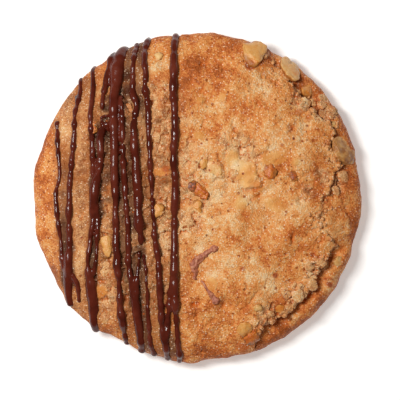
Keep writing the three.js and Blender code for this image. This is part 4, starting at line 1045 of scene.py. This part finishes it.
class CookieColours(bpy.types.PropertyGroup):
    """Colours of the baked pieces."""

    crust_pale: FloatVectorProperty(
        name="Pale Crust", description="Crust that stayed pale and sandy",
        default=linear("e8ad6e"), size=4, min=0, max=1, subtype="COLOR")
    crust_gold: FloatVectorProperty(
        name="Golden Crust", description="Most of the crust",
        default=linear("e0924a"), size=4, min=0, max=1, subtype="COLOR")
    crust_brown: FloatVectorProperty(
        name="Brown Crust", description="Crust towards the rim",
        default=linear("c6692a"), size=4, min=0, max=1, subtype="COLOR")
    crumb: FloatVectorProperty(
        name="Torn Crumb", description="Crumb where the crust tore",
        default=linear("e0ae78"), size=4, min=0, max=1, subtype="COLOR")
    nut_flesh: FloatVectorProperty(
        name="Nut Flesh", description="Lightly toasted chopped nut",
        default=linear("dda762"), size=4, min=0, max=1, subtype="COLOR")
    nut_skin: FloatVectorProperty(
        name="Nut Skin", description="The papery skin of a nut",
        default=linear("b0664a"), size=4, min=0, max=1, subtype="COLOR")
    chocolate: FloatVectorProperty(
        name="Chocolate", description="Set dark chocolate",
        default=linear("571c0e"), size=4, min=0, max=1, subtype="COLOR")


class CookieStage(bpy.types.PropertyGroup):
    """Camera and light of the studio."""

    frame_width: FloatProperty(
        name="Frame Width", description="Width that the camera takes in at the cookie",
        default=91.2 * MM, unit="LENGTH", subtype="DISTANCE")
    lens: FloatProperty(
        name="Lens", description="Focal length in millimetres", default=900.0)
    key_power: FloatProperty(
        name="Key Power", description="Power of the key light", default=3.35,
        unit="POWER")
    fill: FloatProperty(
        name="Fill", description="Strength of the even light from all round", default=0.19)


# ------------------------------------------------------------------ the crust


CRUST_ATTRIBUTES = ("browning", "recess_shade", "toast", "crumb", "glaze", "fat_stain_and_shade")


def laid_net(steps):
    """A square net drawn round to a disc and laid over the dome and the side, then closed
    underneath.  Returns the bmesh and the rolled-out place of each of its net's vertices."""
    bm = bmesh.new()
    bmesh.ops.create_grid(bm, x_segments=steps, y_segments=steps, size=1.0)
    square = np.array([v.co[:2] for v in bm.verts])
    u, v = square.T
    ring = np.maximum(np.abs(u), np.abs(v))
    flat_u = np.abs(u) >= np.abs(v)
    safe_u, safe_v = np.where(flat_u & (ring > 0), u, 1), np.where(flat_u, 1, v)
    angle = np.where(
        flat_u,
        math.pi / 4 * v / safe_u + np.where(u < 0, math.pi, 0),
        math.pi / 2 - math.pi / 4 * u / safe_v + np.where(v < 0, math.pi, 0))
    # the rings lie a little closer on the top than down the side
    along = SECTION_LENGTH * (0.9 * ring + 0.1 * ring ** 6)
    return bm, np.column_stack([np.cos(angle), np.sin(angle)]) * along[:, None]


def close_underside(bm):
    """Runs the net's edge in over the flat underside and fills the middle."""
    edge = [e for e in bm.edges if e.is_boundary]
    for ring in UNDERSIDE_RINGS:
        made = bmesh.ops.extrude_edge_only(bm, edges=edge)["geom"]
        verts = [g for g in made if isinstance(g, bmesh.types.BMVert)]
        edge = [g for g in made if isinstance(g, bmesh.types.BMEdge) and g.is_boundary]
        reach = np.mean([v.co.xy.length for v in verts])
        target = ring * (RADIUS - FOOT_INSET) * MM
        for v in verts:
            v.co.xy *= target / reach
            v.co.z = 0
    filled = bmesh.ops.edgeloop_fill(bm, edges=edge)["faces"]
    bmesh.ops.poke(bm, faces=filled)


def small_holes(count):
    """Small steam holes besides the listed ones, gathered round a few places."""
    draw = random.Random(HOLE_SEED)
    holes = []
    for _ in range(count):
        x, y, spread = draw.choice(HOLE_CENTRES)
        holes.append((x + draw.gauss(0, spread * 0.5), y + draw.gauss(0, spread * 0.5),
                      draw.uniform(0.18, 0.30), draw.uniform(0.15, 0.40)))
    return holes


def patch_share(place, patches):
    """How much of each place lies in round patches of (x, y, radius, strength)."""
    share = np.zeros(len(place))
    for x, y, radius, strength in patches:
        share = np.maximum(share, strength * hump(
            np.hypot(place[:, 0] - x, place[:, 1] - y) / (1.4 * radius)))
    return share


def glaze_share(place):
    """How much of each place lies under a smooth amber patch."""
    share = np.zeros(len(place))
    wander = layered_noise(place, "amber patches")
    for x, y, length, width, turn in GLAZED_PATCHES:
        angle = math.radians(turn)
        dx, dy = place[:, 0] - x, place[:, 1] - y
        along = (dx * math.cos(angle) + dy * math.sin(angle)) / (length / 2)
        across = (dy * math.cos(angle) - dx * math.sin(angle)) / (width / 2)
        share = np.maximum(share, smoothstep(1.15, 0.7, np.hypot(along, across) + wander))
    return share


def toasted_share(place, extra=0.0):
    """How toasted each place is by the listed spots, made stronger by `extra`."""
    share = np.zeros(len(place))
    for x, y, radius, strength in TOASTED_SPOTS:
        away = np.hypot(place[:, 0] - x, place[:, 1] - y) / radius
        share = np.maximum(share, (extra + strength) * smoothstep(1.3, 0.5, away))
    return share


def lifted_crust(points):
    """Height of the lifted edges of crust, and how deep in the crevice under one each point is,
    for the painted shade there."""
    height, crevice = np.zeros(len(points)), np.zeros(len(points))
    for rise, reach, route in LIFTED_EDGES:
        near = near_route(points, route, 2.4 * reach)
        off, share = beside_route(points[near], route)
        ends = smoothstep(0, 0.14, share) * (1 - smoothstep(0.86, 1, share))
        level = np.column_stack([points[near], np.zeros(len(near))])
        ends *= np.clip(0.75 + layered_noise(level, "lifted edges"), 0.1, 1)
        lifted = rise * np.exp(-(np.maximum(off, 0) / reach) ** 2) * smoothstep(-0.3, 0.2, off)
        foot = np.exp(-((off + 0.35) / 0.4) ** 2)
        height[near] += ends * (lifted - 0.1 * rise * foot)
        crevice[near] = np.maximum(crevice[near], ends * foot * min(1, 1.6 * rise))
    return height, crevice


def fat_stain_and_shade_share(place):
    """How much fat stain and painted shade each place gets from the chocolate strands: a little
    beside one, as fat and painted shadow, and most in the narrow gap between two, as painted shade."""
    nearest = np.full((2, len(place)), 2 * FAT_AND_SHADE_REACH)
    for _, _, route in STRANDS:
        if len(route) < FAT_AND_SHADE_POINTS:
            continue
        near = near_route(place[:, :2], route, FAT_AND_SHADE_REACH)
        off, share = beside_route(place[near, :2], route)
        x, y, width = np.array(route).T
        behind = np.concatenate([[0], np.cumsum(np.hypot(np.diff(x), np.diff(y)))])
        reach = STRAND_FULLNESS / 2 * np.interp(share, behind / behind[-1], width)
        beyond = np.maximum(np.abs(off) - reach, 0)
        nearest[:, near] = np.sort(np.vstack([nearest[:, near], beyond]), axis=0)[:2]
    # a halo of fat stain and painted shadow beside the nearest strand, and painted shade in the gap
    # to the second
    halo = 0.5 * np.exp(-(nearest[0] / 0.6) ** 2)
    between = 0.9 * np.exp(-(nearest[1] / 1.25) ** 2)
    return 1 - (1 - halo) * (1 - between) * (1 - patch_share(place, PAINTED_SHADE_POOLS))


def striped_share(place):
    """How much of each place lies in the coarse, browner crumb under the strands."""
    share = np.ones(len(place))
    for axis, run_out, fullest in STRIPED_SIDES:
        share *= smoothstep(run_out, fullest, place[:, axis])
    return share


def crust_browning(place, flat):
    """How brown the crust is: 0 for pale, 1 for brown, with painted shade from some listed patches.
    """
    distance = np.hypot(*flat.T)
    # browner towards the rim, and most down the side
    browning = 0.30 + 0.12 * smoothstep(8, 30, distance) + 0.28 * smoothstep(32, 41, distance)
    browning += layered_noise(place, "browning") + 0.24 * striped_share(place)
    for x, y, radius, change in BROWNING_AND_SHADE_PATCHES:
        browning += change * hump(np.hypot(place[:, 0] - x, place[:, 1] - y) / radius)
    return browning


def crust_relief(place, flat, sizes):
    """Fine relief of the crust, and the numbers that its material reads."""
    left_rim = smoothstep(27, 33, -place[:, 0]) * smoothstep(30, 34, np.hypot(*flat.T))
    calm = 1 - 0.35 * left_rim
    fall, wall = ledge_fall(place)
    groove, lip = crack_fall(place)
    glaze = glaze_share(place)
    striped = striped_share(place)
    bare = patch_share(place, CRUMB_PATCHES) + striped * (
        0.12 + 0.45 * smoothstep(-25, -21, place[:, 0]))
    bare += layered_noise(place, "bare crumb")
    crumb = np.maximum(smoothstep(0.22, 0.62, bare), 0.9 * wall) * (1 - glaze)
    side = smoothstep(WAIST_HEIGHT, 1.0, place[:, 2])
    wander = np.column_stack([layered_noise(place, f"facet {axis}") for axis in "xyz"])
    ragged = place + wander

    swell, sandy = layered_noise(place, "swell"), layered_noise(place, "sand")
    height = swell * calm + sizes.crumb_height / MM * sandy * calm * (1 - 0.8 * glaze)

    # bare crumb breaks up into tilted facets, with smaller ones on them
    flaky = (0.08 + 0.92 * crumb) * calm * (1 - 0.85 * glaze)
    facets, levels, rims = facets_at(ragged, FACET_SIZE)
    small_facets, small_levels, small_rims = facets_at(ragged, SMALL_FACET_SIZE)
    torn = sizes.torn_height / MM * (
        0.8 + 0.2 * smoothstep(25, 31, np.hypot(*flat.T)) + 0.05 * striped)
    height += torn * flaky * (facets + SMALL_FACET_SHARE * small_facets - 0.3)
    height += 0.12 * glaze
    rims = (0.1 + 0.9 * crumb) * (rims + 0.6 * small_rims)
    # feet get painted shade; the tone lets each facet differ and paints its rim paler as a
    # highlight
    feet = np.clip(-rims - 0.04, 0, 1)
    tone = flaky * (0.6 * levels + 0.4 * small_levels) - 1.8 * np.clip(rims, 0, 0.5)

    points = place[:, :2] + 0.5 * wander[:, :2]
    lifted, crevice = lifted_crust(points)
    cracks, holes = np.zeros(len(place)), np.zeros(len(place))
    for width, depth, route in FINE_CRACKS:
        near = near_route(points, route, 2 * width)
        off = beside_route(points[near], route)[0]
        cracks[near] = np.maximum(cracks[near], 0.8 * depth * np.exp(-(off / width * 1.7) ** 2))
    cracks *= 0.65 + layered_noise(place, "fine cracks")
    for x, y, radius, depth in (*STEAM_HOLES, *small_holes(sizes.small_holes)):
        near = near_route(place[:, :2], ((x, y),), 2.4 * radius)
        away = np.hypot(place[near, 0] - x, place[near, 1] - y) / radius
        holes[near] = np.maximum(holes[near], depth * np.exp(-away ** 2))
    height += lifted + lip - fall - 0.7 * groove - cracks - holes
    # painted shade: darker in cracks, holes, the groove, crevices, at facet feet and along the
    # ledge wall, lighter on high places
    recess_shade = np.clip(
        1.1 * cracks + 1.2 * holes + 0.4 * groove + 0.5 * crevice + 1.8 * feet
        + 0.15 * wall - 0.6 * swell - 0.25 * flaky * facets
        - 0.22 * sandy * (1 - glaze), 0, 1)
    # painted shade: darker on the lowered ledge
    browning = crust_browning(place, flat) + 0.12 * fall / LEDGE_DROP
    browning += (0.16 + 0.22 * striped) * tone
    # the crumb is dull in the striped half, most of all at its left, and its crevices there get
    # painted shade
    crumb = np.maximum(crumb, striped * (0.85 - 0.5 * smoothstep(-14, -9, place[:, 0])))
    fat_stain_and_shade = np.maximum(fat_stain_and_shade_share(place), 0.8 * striped * np.clip(2.2 * feet, 0, 0.8))
    return height * (1 - side * 0.7), browning, recess_shade, crumb, glaze, fat_stain_and_shade


class COOKIE_OT_crust(bpy.types.Operator):
    """Make the baked crust, from its crown to the flat underside"""

    bl_idname = "cookie.crust"
    bl_label = "Baked Crust"

    def execute(self, context):
        sizes = context.scene.cookie_sizes
        bm, flat = laid_net(sizes.crust_steps)
        place, normal = crust_at(flat)
        height, browning, recess_shade, crumb, glaze, fat_stain_and_shade = crust_relief(place, flat, sizes)
        toast = toasted_share(place)
        share = np.hypot(*flat.T) / SECTION_LENGTH
        place = place + normal * (height * (1 - smoothstep(0.93, 1.0, share)))[:, None]
        place[:, 2] = np.maximum(place[:, 2], 0)
        place[share > 0.999, 2] = 0
        for v, co in zip(bm.verts, place * MM):
            v.co = co
        close_underside(bm)
        bmesh.ops.recalc_face_normals(bm, faces=bm.faces)
        mesh = mesh_from(bm, "crust")
        under = len(mesh.vertices) - len(place)
        set_attributes(mesh, {
            name: np.concatenate([values, np.full(under, below)])
            for name, values, below in zip(
                CRUST_ATTRIBUTES, (browning, recess_shade, toast, crumb, glaze, fat_stain_and_shade),
                (UNDERSIDE_BROWNING, 0, 0, 0, 0, 0))})
        material = baked_crust_material(context.scene.cookie_colours)
        keep(object_from("crust", mesh, material))
        return {"FINISHED"}


def crust_tree():
    """The finished crust, to stand other pieces on."""
    crust = bpy.data.objects.get("crust")
    if crust is None:
        raise RuntimeError("make the crust first")
    return BVHTree.FromObject(crust, bpy.context.evaluated_depsgraph_get())


def stand_on(tree, x, y):
    """Place and direction, in millimetres, where a piece at x, y meets the finished crust."""
    place, normal = (a[0] for a in crust_at(rolled_out(x, y)))
    outward = Vector(normal).normalized()
    start = (Vector(place) + outward * 4) * MM
    hit = tree.ray_cast(start, -outward)[0]
    if hit is None:
        raise RuntimeError(f"nothing under the piece at {x}, {y}")
    return hit / MM, outward


# ------------------------------------------------------------------ nuts and crumbs


def add_chip(bm, draw, tree, outline, stand, shape):
    """Adds one piece of the listed outline, sunk in the crust: a ball drawn out to the
    outline, with a flat top and sides, planed off by some knife strokes and roughened.
    Returns how near the crust each of its vertices is."""
    subdivisions, roundness, rough, cuts = shape
    corners = np.array(outline, dtype=float)
    middle = corners.mean(axis=0)
    around = corners - middle
    angles, reaches = np.arctan2(around[:, 1], around[:, 0]), np.hypot(*around.T)
    order = np.argsort(angles)
    ground, outward = stand_on(tree, *middle)
    lift = (outward + Vector((0, 0, 1))).normalized()
    sink = 0.5 + 0.45 * stand
    strokes = []
    for _ in range(cuts):
        tilt = Vector([draw.gauss(0, 0.6), draw.gauss(0, 0.6), 1]).normalized()
        strokes.append((tilt, draw.uniform(0.72, 0.94)))
    shift = Vector([draw.uniform(-50, 50) for _ in range(3)])
    feet = []
    for v in bmesh.ops.create_icosphere(bm, subdivisions=subdivisions, radius=1.0)["verts"]:
        flat_share = math.hypot(v.co.x, v.co.y)
        angle = math.atan2(v.co.y, v.co.x)
        reach = np.interp(angle, angles[order], reaches[order], period=math.tau)
        corner = Vector((math.cos(angle), math.sin(angle), 0)) * flat_share ** roundness
        corner.z = math.copysign(abs(v.co.z) ** roundness, v.co.z)
        for tilt, depth in strokes:
            over = corner.dot(tilt) - depth
            if over > 0:
                corner -= tilt * over * 0.9
        corner *= 1 + rough * noise.noise(corner * 1.9 + shift) + rough * 0.6 * noise.noise(
            corner * 4.3 - shift)
        offset = Vector((corner.x, corner.y, 0)) * float(reach) * (1.06 if stand > 1 else 1.0)
        # the piece lies along the slope of the crust
        offset.z = -(outward.x * offset.x + outward.y * offset.y) / max(outward.z, 0.35)
        rise = corner.z * (stand + sink) / 2 + (stand - sink) / 2
        v.co = (ground + offset + lift * rise) * MM
        feet.append(smoothstep(0.6 * stand, 0.05 * stand, rise))
    return feet


def add_crumb(bm, draw, place, outward, size):
    """Adds one small broken crumb: a rough ball with its middle at `place`."""
    made = bmesh.ops.create_icosphere(bm, subdivisions=1, radius=1.0)["verts"]
    for v in made:
        v.co *= draw.uniform(0.72, 1.12)
    turned = outward.to_track_quat("Z", "Y").to_matrix().to_4x4()
    matrix = (Matrix.Translation(place * MM) @ turned
              @ Matrix.Rotation(draw.uniform(0, math.tau), 4, "Z")
              @ Matrix.Diagonal((size * 0.58 * MM, size * 0.46 * MM, size * 0.4 * MM, 1)))
    bmesh.ops.transform(bm, matrix=matrix, verts=made)
    return made


class COOKIE_OT_nuts(bpy.types.Operator):
    """Make the chopped nuts sunk in the top"""

    bl_idname = "cookie.nuts"
    bl_label = "Chopped Nuts"

    def execute(self, context):
        tree, draw, bm = crust_tree(), random.Random(NUT_SEED), bmesh.new()
        tones, feet = [], []
        for stand, tone, outline in NUTS:
            shape = NUT_SHAPE if tone < 0.7 else TOASTED_NUT_SHAPE
            made = add_chip(bm, draw, tree, outline, stand, shape)
            tones += [tone] * len(made)
            feet += made
        # spots show a little stronger on the pale nuts than on the crust
        toast = toasted_share(np.array([v.co for v in bm.verts]) / MM, 0.12)
        mesh = mesh_from(bm, "chopped_nuts")
        set_attributes(mesh, {"tone": np.maximum(tones, toast), "foot": feet})
        material = chopped_nut_material(context.scene.cookie_colours)
        keep(object_from("chopped_nuts", mesh, material))
        return {"FINISHED"}


class COOKIE_OT_kernel(bpy.types.Operator):
    """Make the half kernel in the right shoulder"""

    bl_idname = "cookie.kernel"
    bl_label = "Half Kernel"

    def execute(self, context):
        tree, draw, bm = crust_tree(), random.Random(KERNEL_SEED), bmesh.new()
        stand, outline = KERNEL
        add_chip(bm, draw, tree, outline, stand, KERNEL_SHAPE)
        mesh = mesh_from(bm, "half_kernel")
        keep(object_from("half_kernel", mesh, kernel_material()))
        return {"FINISHED"}


class COOKIE_OT_crumbs(bpy.types.Operator):
    """Make the crumbs that stand along the broken edge"""

    bl_idname = "cookie.crumbs"
    bl_label = "Crumbs"

    def execute(self, context):
        tree, draw, bm = crust_tree(), random.Random(CRUMB_SEED), bmesh.new()
        tones, feet = [], []
        for stand, tone, outline in CRUMB_BLOCKS:
            made = add_chip(bm, draw, tree, outline, stand, CRUMB_SHAPE)
            tones += [tone] * len(made)
            feet += made
        rows = np.array(FLAKE_EDGE[::-1])
        for _ in range(context.scene.cookie_sizes.loose_crumbs):
            degrees = draw.uniform(rows[0, 0] + 2, rows[-1, 0] - 2)
            radius = float(np.interp(degrees, rows[:, 0], rows[:, 1])) + draw.gauss(-0.3, 1.0)
            size = min(draw.lognormvariate(-0.15, 0.3), 1.6)
            if radius < RADIUS - 1.0:
                angle = math.radians(degrees)
                place, outward = stand_on(
                    tree, radius * math.cos(angle), radius * math.sin(angle))
                made = add_crumb(bm, draw, place + outward * size * 0.06, outward, size)
                tones += [draw.uniform(0.2, 0.8)] * len(made)
                feet += [0.25] * len(made)
        mesh = mesh_from(bm, "edge_crumbs")
        tones, feet = np.array(tones), np.array(feet)
        # painted shade at the feet of the crumbs, as in the crust's recesses
        set_attributes(mesh, dict(zip(CRUST_ATTRIBUTES, (
            0.24 + 0.4 * tones, 0.6 * feet, np.zeros(len(tones)), 0.2 + 0.4 * (tones > 0.15),
            np.zeros(len(tones)), np.zeros(len(tones))))))
        keep(object_from("edge_crumbs", mesh, bpy.data.materials["Baked butter dough"]))
        return {"FINISHED"}


# ------------------------------------------------------------------ swept pieces


def smooth_route(route, spacing):
    """Evenly spaced (x, y, width) along a smooth curve through the route's points."""
    points = np.array(route, dtype=float)
    padded = np.vstack([2 * points[0] - points[1], points, 2 * points[-1] - points[-2]])
    rows = []
    for i in range(1, len(padded) - 2):
        a, b, c, d = padded[i - 1:i + 3]
        count = max(2, int(np.linalg.norm((c - b)[:2]) / spacing))
        for t in np.linspace(0, 1, count, endpoint=False):
            rows.append(0.5 * (2 * b + (c - a) * t + (2 * a - 5 * b + 4 * c - d) * t ** 2
                               + (3 * b - a - 3 * c + d) * t ** 3))
    rows.append(points[-1])
    return np.array(rows)


def strand_route(over_first, over_last, route):
    """A strand's route in rolled-out coordinates, with its ends run on over the rim."""
    flat = rolled_out([r[0] for r in route], [r[1] for r in route])
    rows = [(*f, r[2]) for f, r in zip(flat, route)]

    def run_on(end, inner, distance):
        outward = Vector(end[:2]).normalized()
        straight = Vector((end[0] - inner[0], end[1] - inner[1])).normalized()
        reach = Vector(end[:2]) + (outward + straight).normalized() * distance
        return (reach.x, reach.y, end[2] * 1.05)

    if over_first:
        rows.insert(0, run_on(rows[0], rows[1], over_first))
    if over_last:
        rows.append(run_on(rows[-1], rows[-2], over_last))
    return rows


def tube_curve(name, lines):
    """A curve object with one round tube for each line of (place, radius) rows, in
    millimetres."""
    curve = bpy.data.curves.new(name, "CURVE")
    curve.dimensions = "3D"
    curve.bevel_depth = 1.0
    curve.bevel_resolution = 4
    curve.use_fill_caps = True
    for rows in lines:
        spline = curve.splines.new("POLY")
        spline.points.add(len(rows) - 1)
        for point, (place, radius) in zip(spline.points, rows):
            point.co = (*(place * MM), 1)
            point.radius = radius * MM
    obj = bpy.data.objects.new(name, curve)
    bpy.context.scene.collection.objects.link(obj)
    return obj


def fused_mesh(obj, name, voxel, smoothing):
    """The tubes run together into one skin and smoothed, as a new mesh."""
    remesh = obj.modifiers.new("Run together", "REMESH")
    remesh.mode = "VOXEL"
    remesh.voxel_size = voxel
    smooth = obj.modifiers.new("Settle", "SMOOTH")
    smooth.factor = 0.5
    smooth.iterations = smoothing
    depsgraph = bpy.context.evaluated_depsgraph_get()
    mesh = bpy.data.meshes.new_from_object(obj.evaluated_get(depsgraph), depsgraph=depsgraph)
    mesh.name = name
    bpy.data.objects.remove(obj)
    return mesh


def strand_rows(tree, route, sink, shift):
    """Place and radius along a strand as it lies on the crust, with the small knots and
    waves of a hand-drawn thread.  `shift` gives each strand its own."""
    rows = []
    points = smooth_route(route, STRAND_STEP)
    flat = points[:, :2]
    places, normals = crust_at(flat)
    last = len(points) - 1
    travelled = 0.0
    for i, (place, normal, width) in enumerate(zip(places, normals, points[:, 2])):
        if i:
            travelled += np.linalg.norm(places[i] - places[i - 1])
        outward = Vector(normal).normalized()
        hit = tree.ray_cast((Vector(place) + outward * 4) * MM, -outward)[0]
        ground = hit / MM if hit else Vector(place)
        knot = noise.noise(Vector((travelled / KNOT_LENGTH, shift, 0)))
        wave = noise.noise(Vector((travelled / WAVE_LENGTH, shift, 5.0)))
        # thin threads gather in knots as they set, thick ones stay smooth
        knotted = 0.13 + 0.45 * (1 - float(smoothstep(1.0, 1.8, width)))
        radius = width / 2 * STRAND_FULLNESS * (1 + knotted * knot)
        ahead = Vector(places[min(i + 1, last)] - places[max(i - 1, 0)]).normalized()
        across = ahead.cross(outward)
        ends = min(1.0, 0.6 + 0.5 * min(i, last - i))
        # and they lie flatter where they run over the rim or are thick
        low = sink + 0.24 * float(smoothstep(0.60, 0.80, math.hypot(*flat[i]) / SECTION_LENGTH))
        low += 0.16 * float(smoothstep(1.3, 2.6, width))
        centre = ground + across * STRAND_SWAY * wave + outward * radius * (1 - 2 * low)
        centre.z = min(centre.z, HIGHEST - radius)
        rows.append((centre, radius * ends))
    # the thread is stiff enough to bridge the smallest dips
    levels = [r[0] for r in rows]
    for _ in range(6):
        levels = [levels[0]] + [
            (levels[i - 1] + levels[i] * 2 + levels[i + 1]) / 4 for i in range(1, last)
        ] + [levels[-1]]
    return [(level, row[1]) for level, row in zip(levels, rows)]


class COOKIE_OT_chocolate(bpy.types.Operator):
    """Make the dark chocolate strands that run over the left half"""

    bl_idname = "cookie.chocolate"
    bl_label = "Chocolate Strands"

    def execute(self, context):
        sizes = context.scene.cookie_sizes
        tree = crust_tree()
        lines = []
        for number, (over_first, over_last, route) in enumerate(STRANDS):
            lines.append(strand_rows(
                tree, strand_route(over_first, over_last, route), sizes.strand_sink,
                number * 7.3))
        tubes = tube_curve("strand_tubes", lines)
        mesh = fused_mesh(tubes, "chocolate_strands", sizes.strand_voxel, 6)
        material = dark_chocolate_material(context.scene.cookie_colours)
        keep(object_from("chocolate_strands", mesh, material))
        return {"FINISHED"}


class COOKIE_OT_skin(bpy.types.Operator):
    """Make the curl of nut skin baked onto the crust"""

    bl_idname = "cookie.skin"
    bl_label = "Nut Skin"

    def execute(self, context):
        tree = crust_tree()
        lines = [strand_rows(tree, strand_route(0, 0, route), SKIN_SINK, 91.0 + number)
                 for number, route in enumerate(SKIN_ROUTES)]
        mesh = fused_mesh(tube_curve("skin_tubes", lines), "nut_skin", SKIN_VOXEL * MM, 2)
        # without this, noise_vector starts from the clock and each run's wrinkles differ
        noise.seed_set(SKIN_SEED)
        for v in mesh.vertices:
            v.co += noise.noise_vector(v.co / (WRINKLE_SIZE * MM)) * WRINKLE_HEIGHT * MM
        material = nut_skin_material(context.scene.cookie_colours)
        keep(object_from("nut_skin", mesh, material))
        return {"FINISHED"}


# ------------------------------------------------------------------ the stage


def aim(obj, place, target):
    """Puts a light at a place, shining at a target."""
    obj.location = place
    obj.rotation_mode = "QUATERNION"
    obj.rotation_quaternion = (Vector(target) - Vector(place)).to_track_quat("-Z", "Y")


def area_light(name, place, size, power, colour):
    """Adds a soft light aimed at the cookie, itself out of the camera's sight."""
    light = bpy.data.lights.new(name, "AREA")
    light.shape = "RECTANGLE"
    light.size, light.size_y = size
    light.energy = power
    light.color = colour
    obj = bpy.data.objects.new(name, light)
    bpy.context.scene.collection.objects.link(obj)
    aim(obj, place, KEY_TARGET)
    obj.visible_camera = False


class COOKIE_OT_stage(bpy.types.Operator):
    """Make the white floor, the light and the camera straight above"""

    bl_idname = "cookie.stage"
    bl_label = "Stage"

    def execute(self, context):
        scene = context.scene
        settings = scene.cookie_stage
        bm = bmesh.new()
        bmesh.ops.create_grid(bm, x_segments=2, y_segments=2, size=3.0)
        mesh = mesh_from(bm, "floor")
        floor = object_from("floor", mesh, light_table_material())
        floor.location.z = -FLOOR_GAP * MM

        scene.view_settings.view_transform = "Standard"
        world = bpy.data.worlds.new("Studio")
        world.use_nodes = True
        background = world.node_tree.nodes["Background"]
        background.inputs["Color"].default_value = linear("ffeedc")
        background.inputs["Strength"].default_value = settings.fill
        scene.world = world
        area_light("key", KEY_PLACE, KEY_SIZE, settings.key_power, (0.975, 0.975, 0.955))

        camera = bpy.data.cameras.new("camera")
        camera.lens = settings.lens
        camera.sensor_width = 36.0
        camera.clip_end = 20
        distance = settings.frame_width * camera.lens / camera.sensor_width
        obj = bpy.data.objects.new("camera", camera)
        scene.collection.objects.link(obj)
        obj.location = (CAMERA_SHIFT * MM, -CAMERA_SHIFT * MM, distance + WAIST_HEIGHT * MM)
        scene.camera = obj
        return {"FINISHED"}


# ------------------------------------------------------------------ panel and run


GROUPS = {"cookie_sizes": CookieSizes, "cookie_colours": CookieColours,
          "cookie_stage": CookieStage}
PIECES = (COOKIE_OT_crust, COOKIE_OT_nuts, COOKIE_OT_kernel, COOKIE_OT_crumbs,
          COOKIE_OT_skin, COOKIE_OT_chocolate, COOKIE_OT_stage)


class COOKIE_PT_panel(bpy.types.Panel):
    """Sizes, colours, light and pieces of the cookie"""

    bl_idname = "COOKIE_PT_panel"
    bl_label = "Striped Nut Cookie"
    bl_space_type = "VIEW_3D"
    bl_region_type = "UI"
    bl_category = "Cookie"

    def draw(self, context):
        for attribute, group in GROUPS.items():
            column = self.layout.column(align=True)
            for name in group.__annotations__:
                column.prop(getattr(context.scene, attribute), name)
        column = self.layout.column(align=True)
        for piece in PIECES:
            column.operator(piece.bl_idname)


CLASSES = (*GROUPS.values(), *PIECES, COOKIE_PT_panel)


def register():
    for cls in CLASSES:
        bpy.utils.register_class(cls)
    for attribute, group in GROUPS.items():
        setattr(bpy.types.Scene, attribute, PointerProperty(type=group))


def unregister():
    for attribute in GROUPS:
        delattr(bpy.types.Scene, attribute)
    for cls in reversed(CLASSES):
        bpy.utils.unregister_class(cls)


def main():
    """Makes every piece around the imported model."""
    register()
    bpy.ops.cookie.crust()
    bpy.ops.cookie.nuts()
    bpy.ops.cookie.kernel()
    bpy.ops.cookie.crumbs()
    bpy.ops.cookie.skin()
    bpy.ops.cookie.chocolate()
    bpy.ops.cookie.stage()


if __name__ == "__main__":
    main()
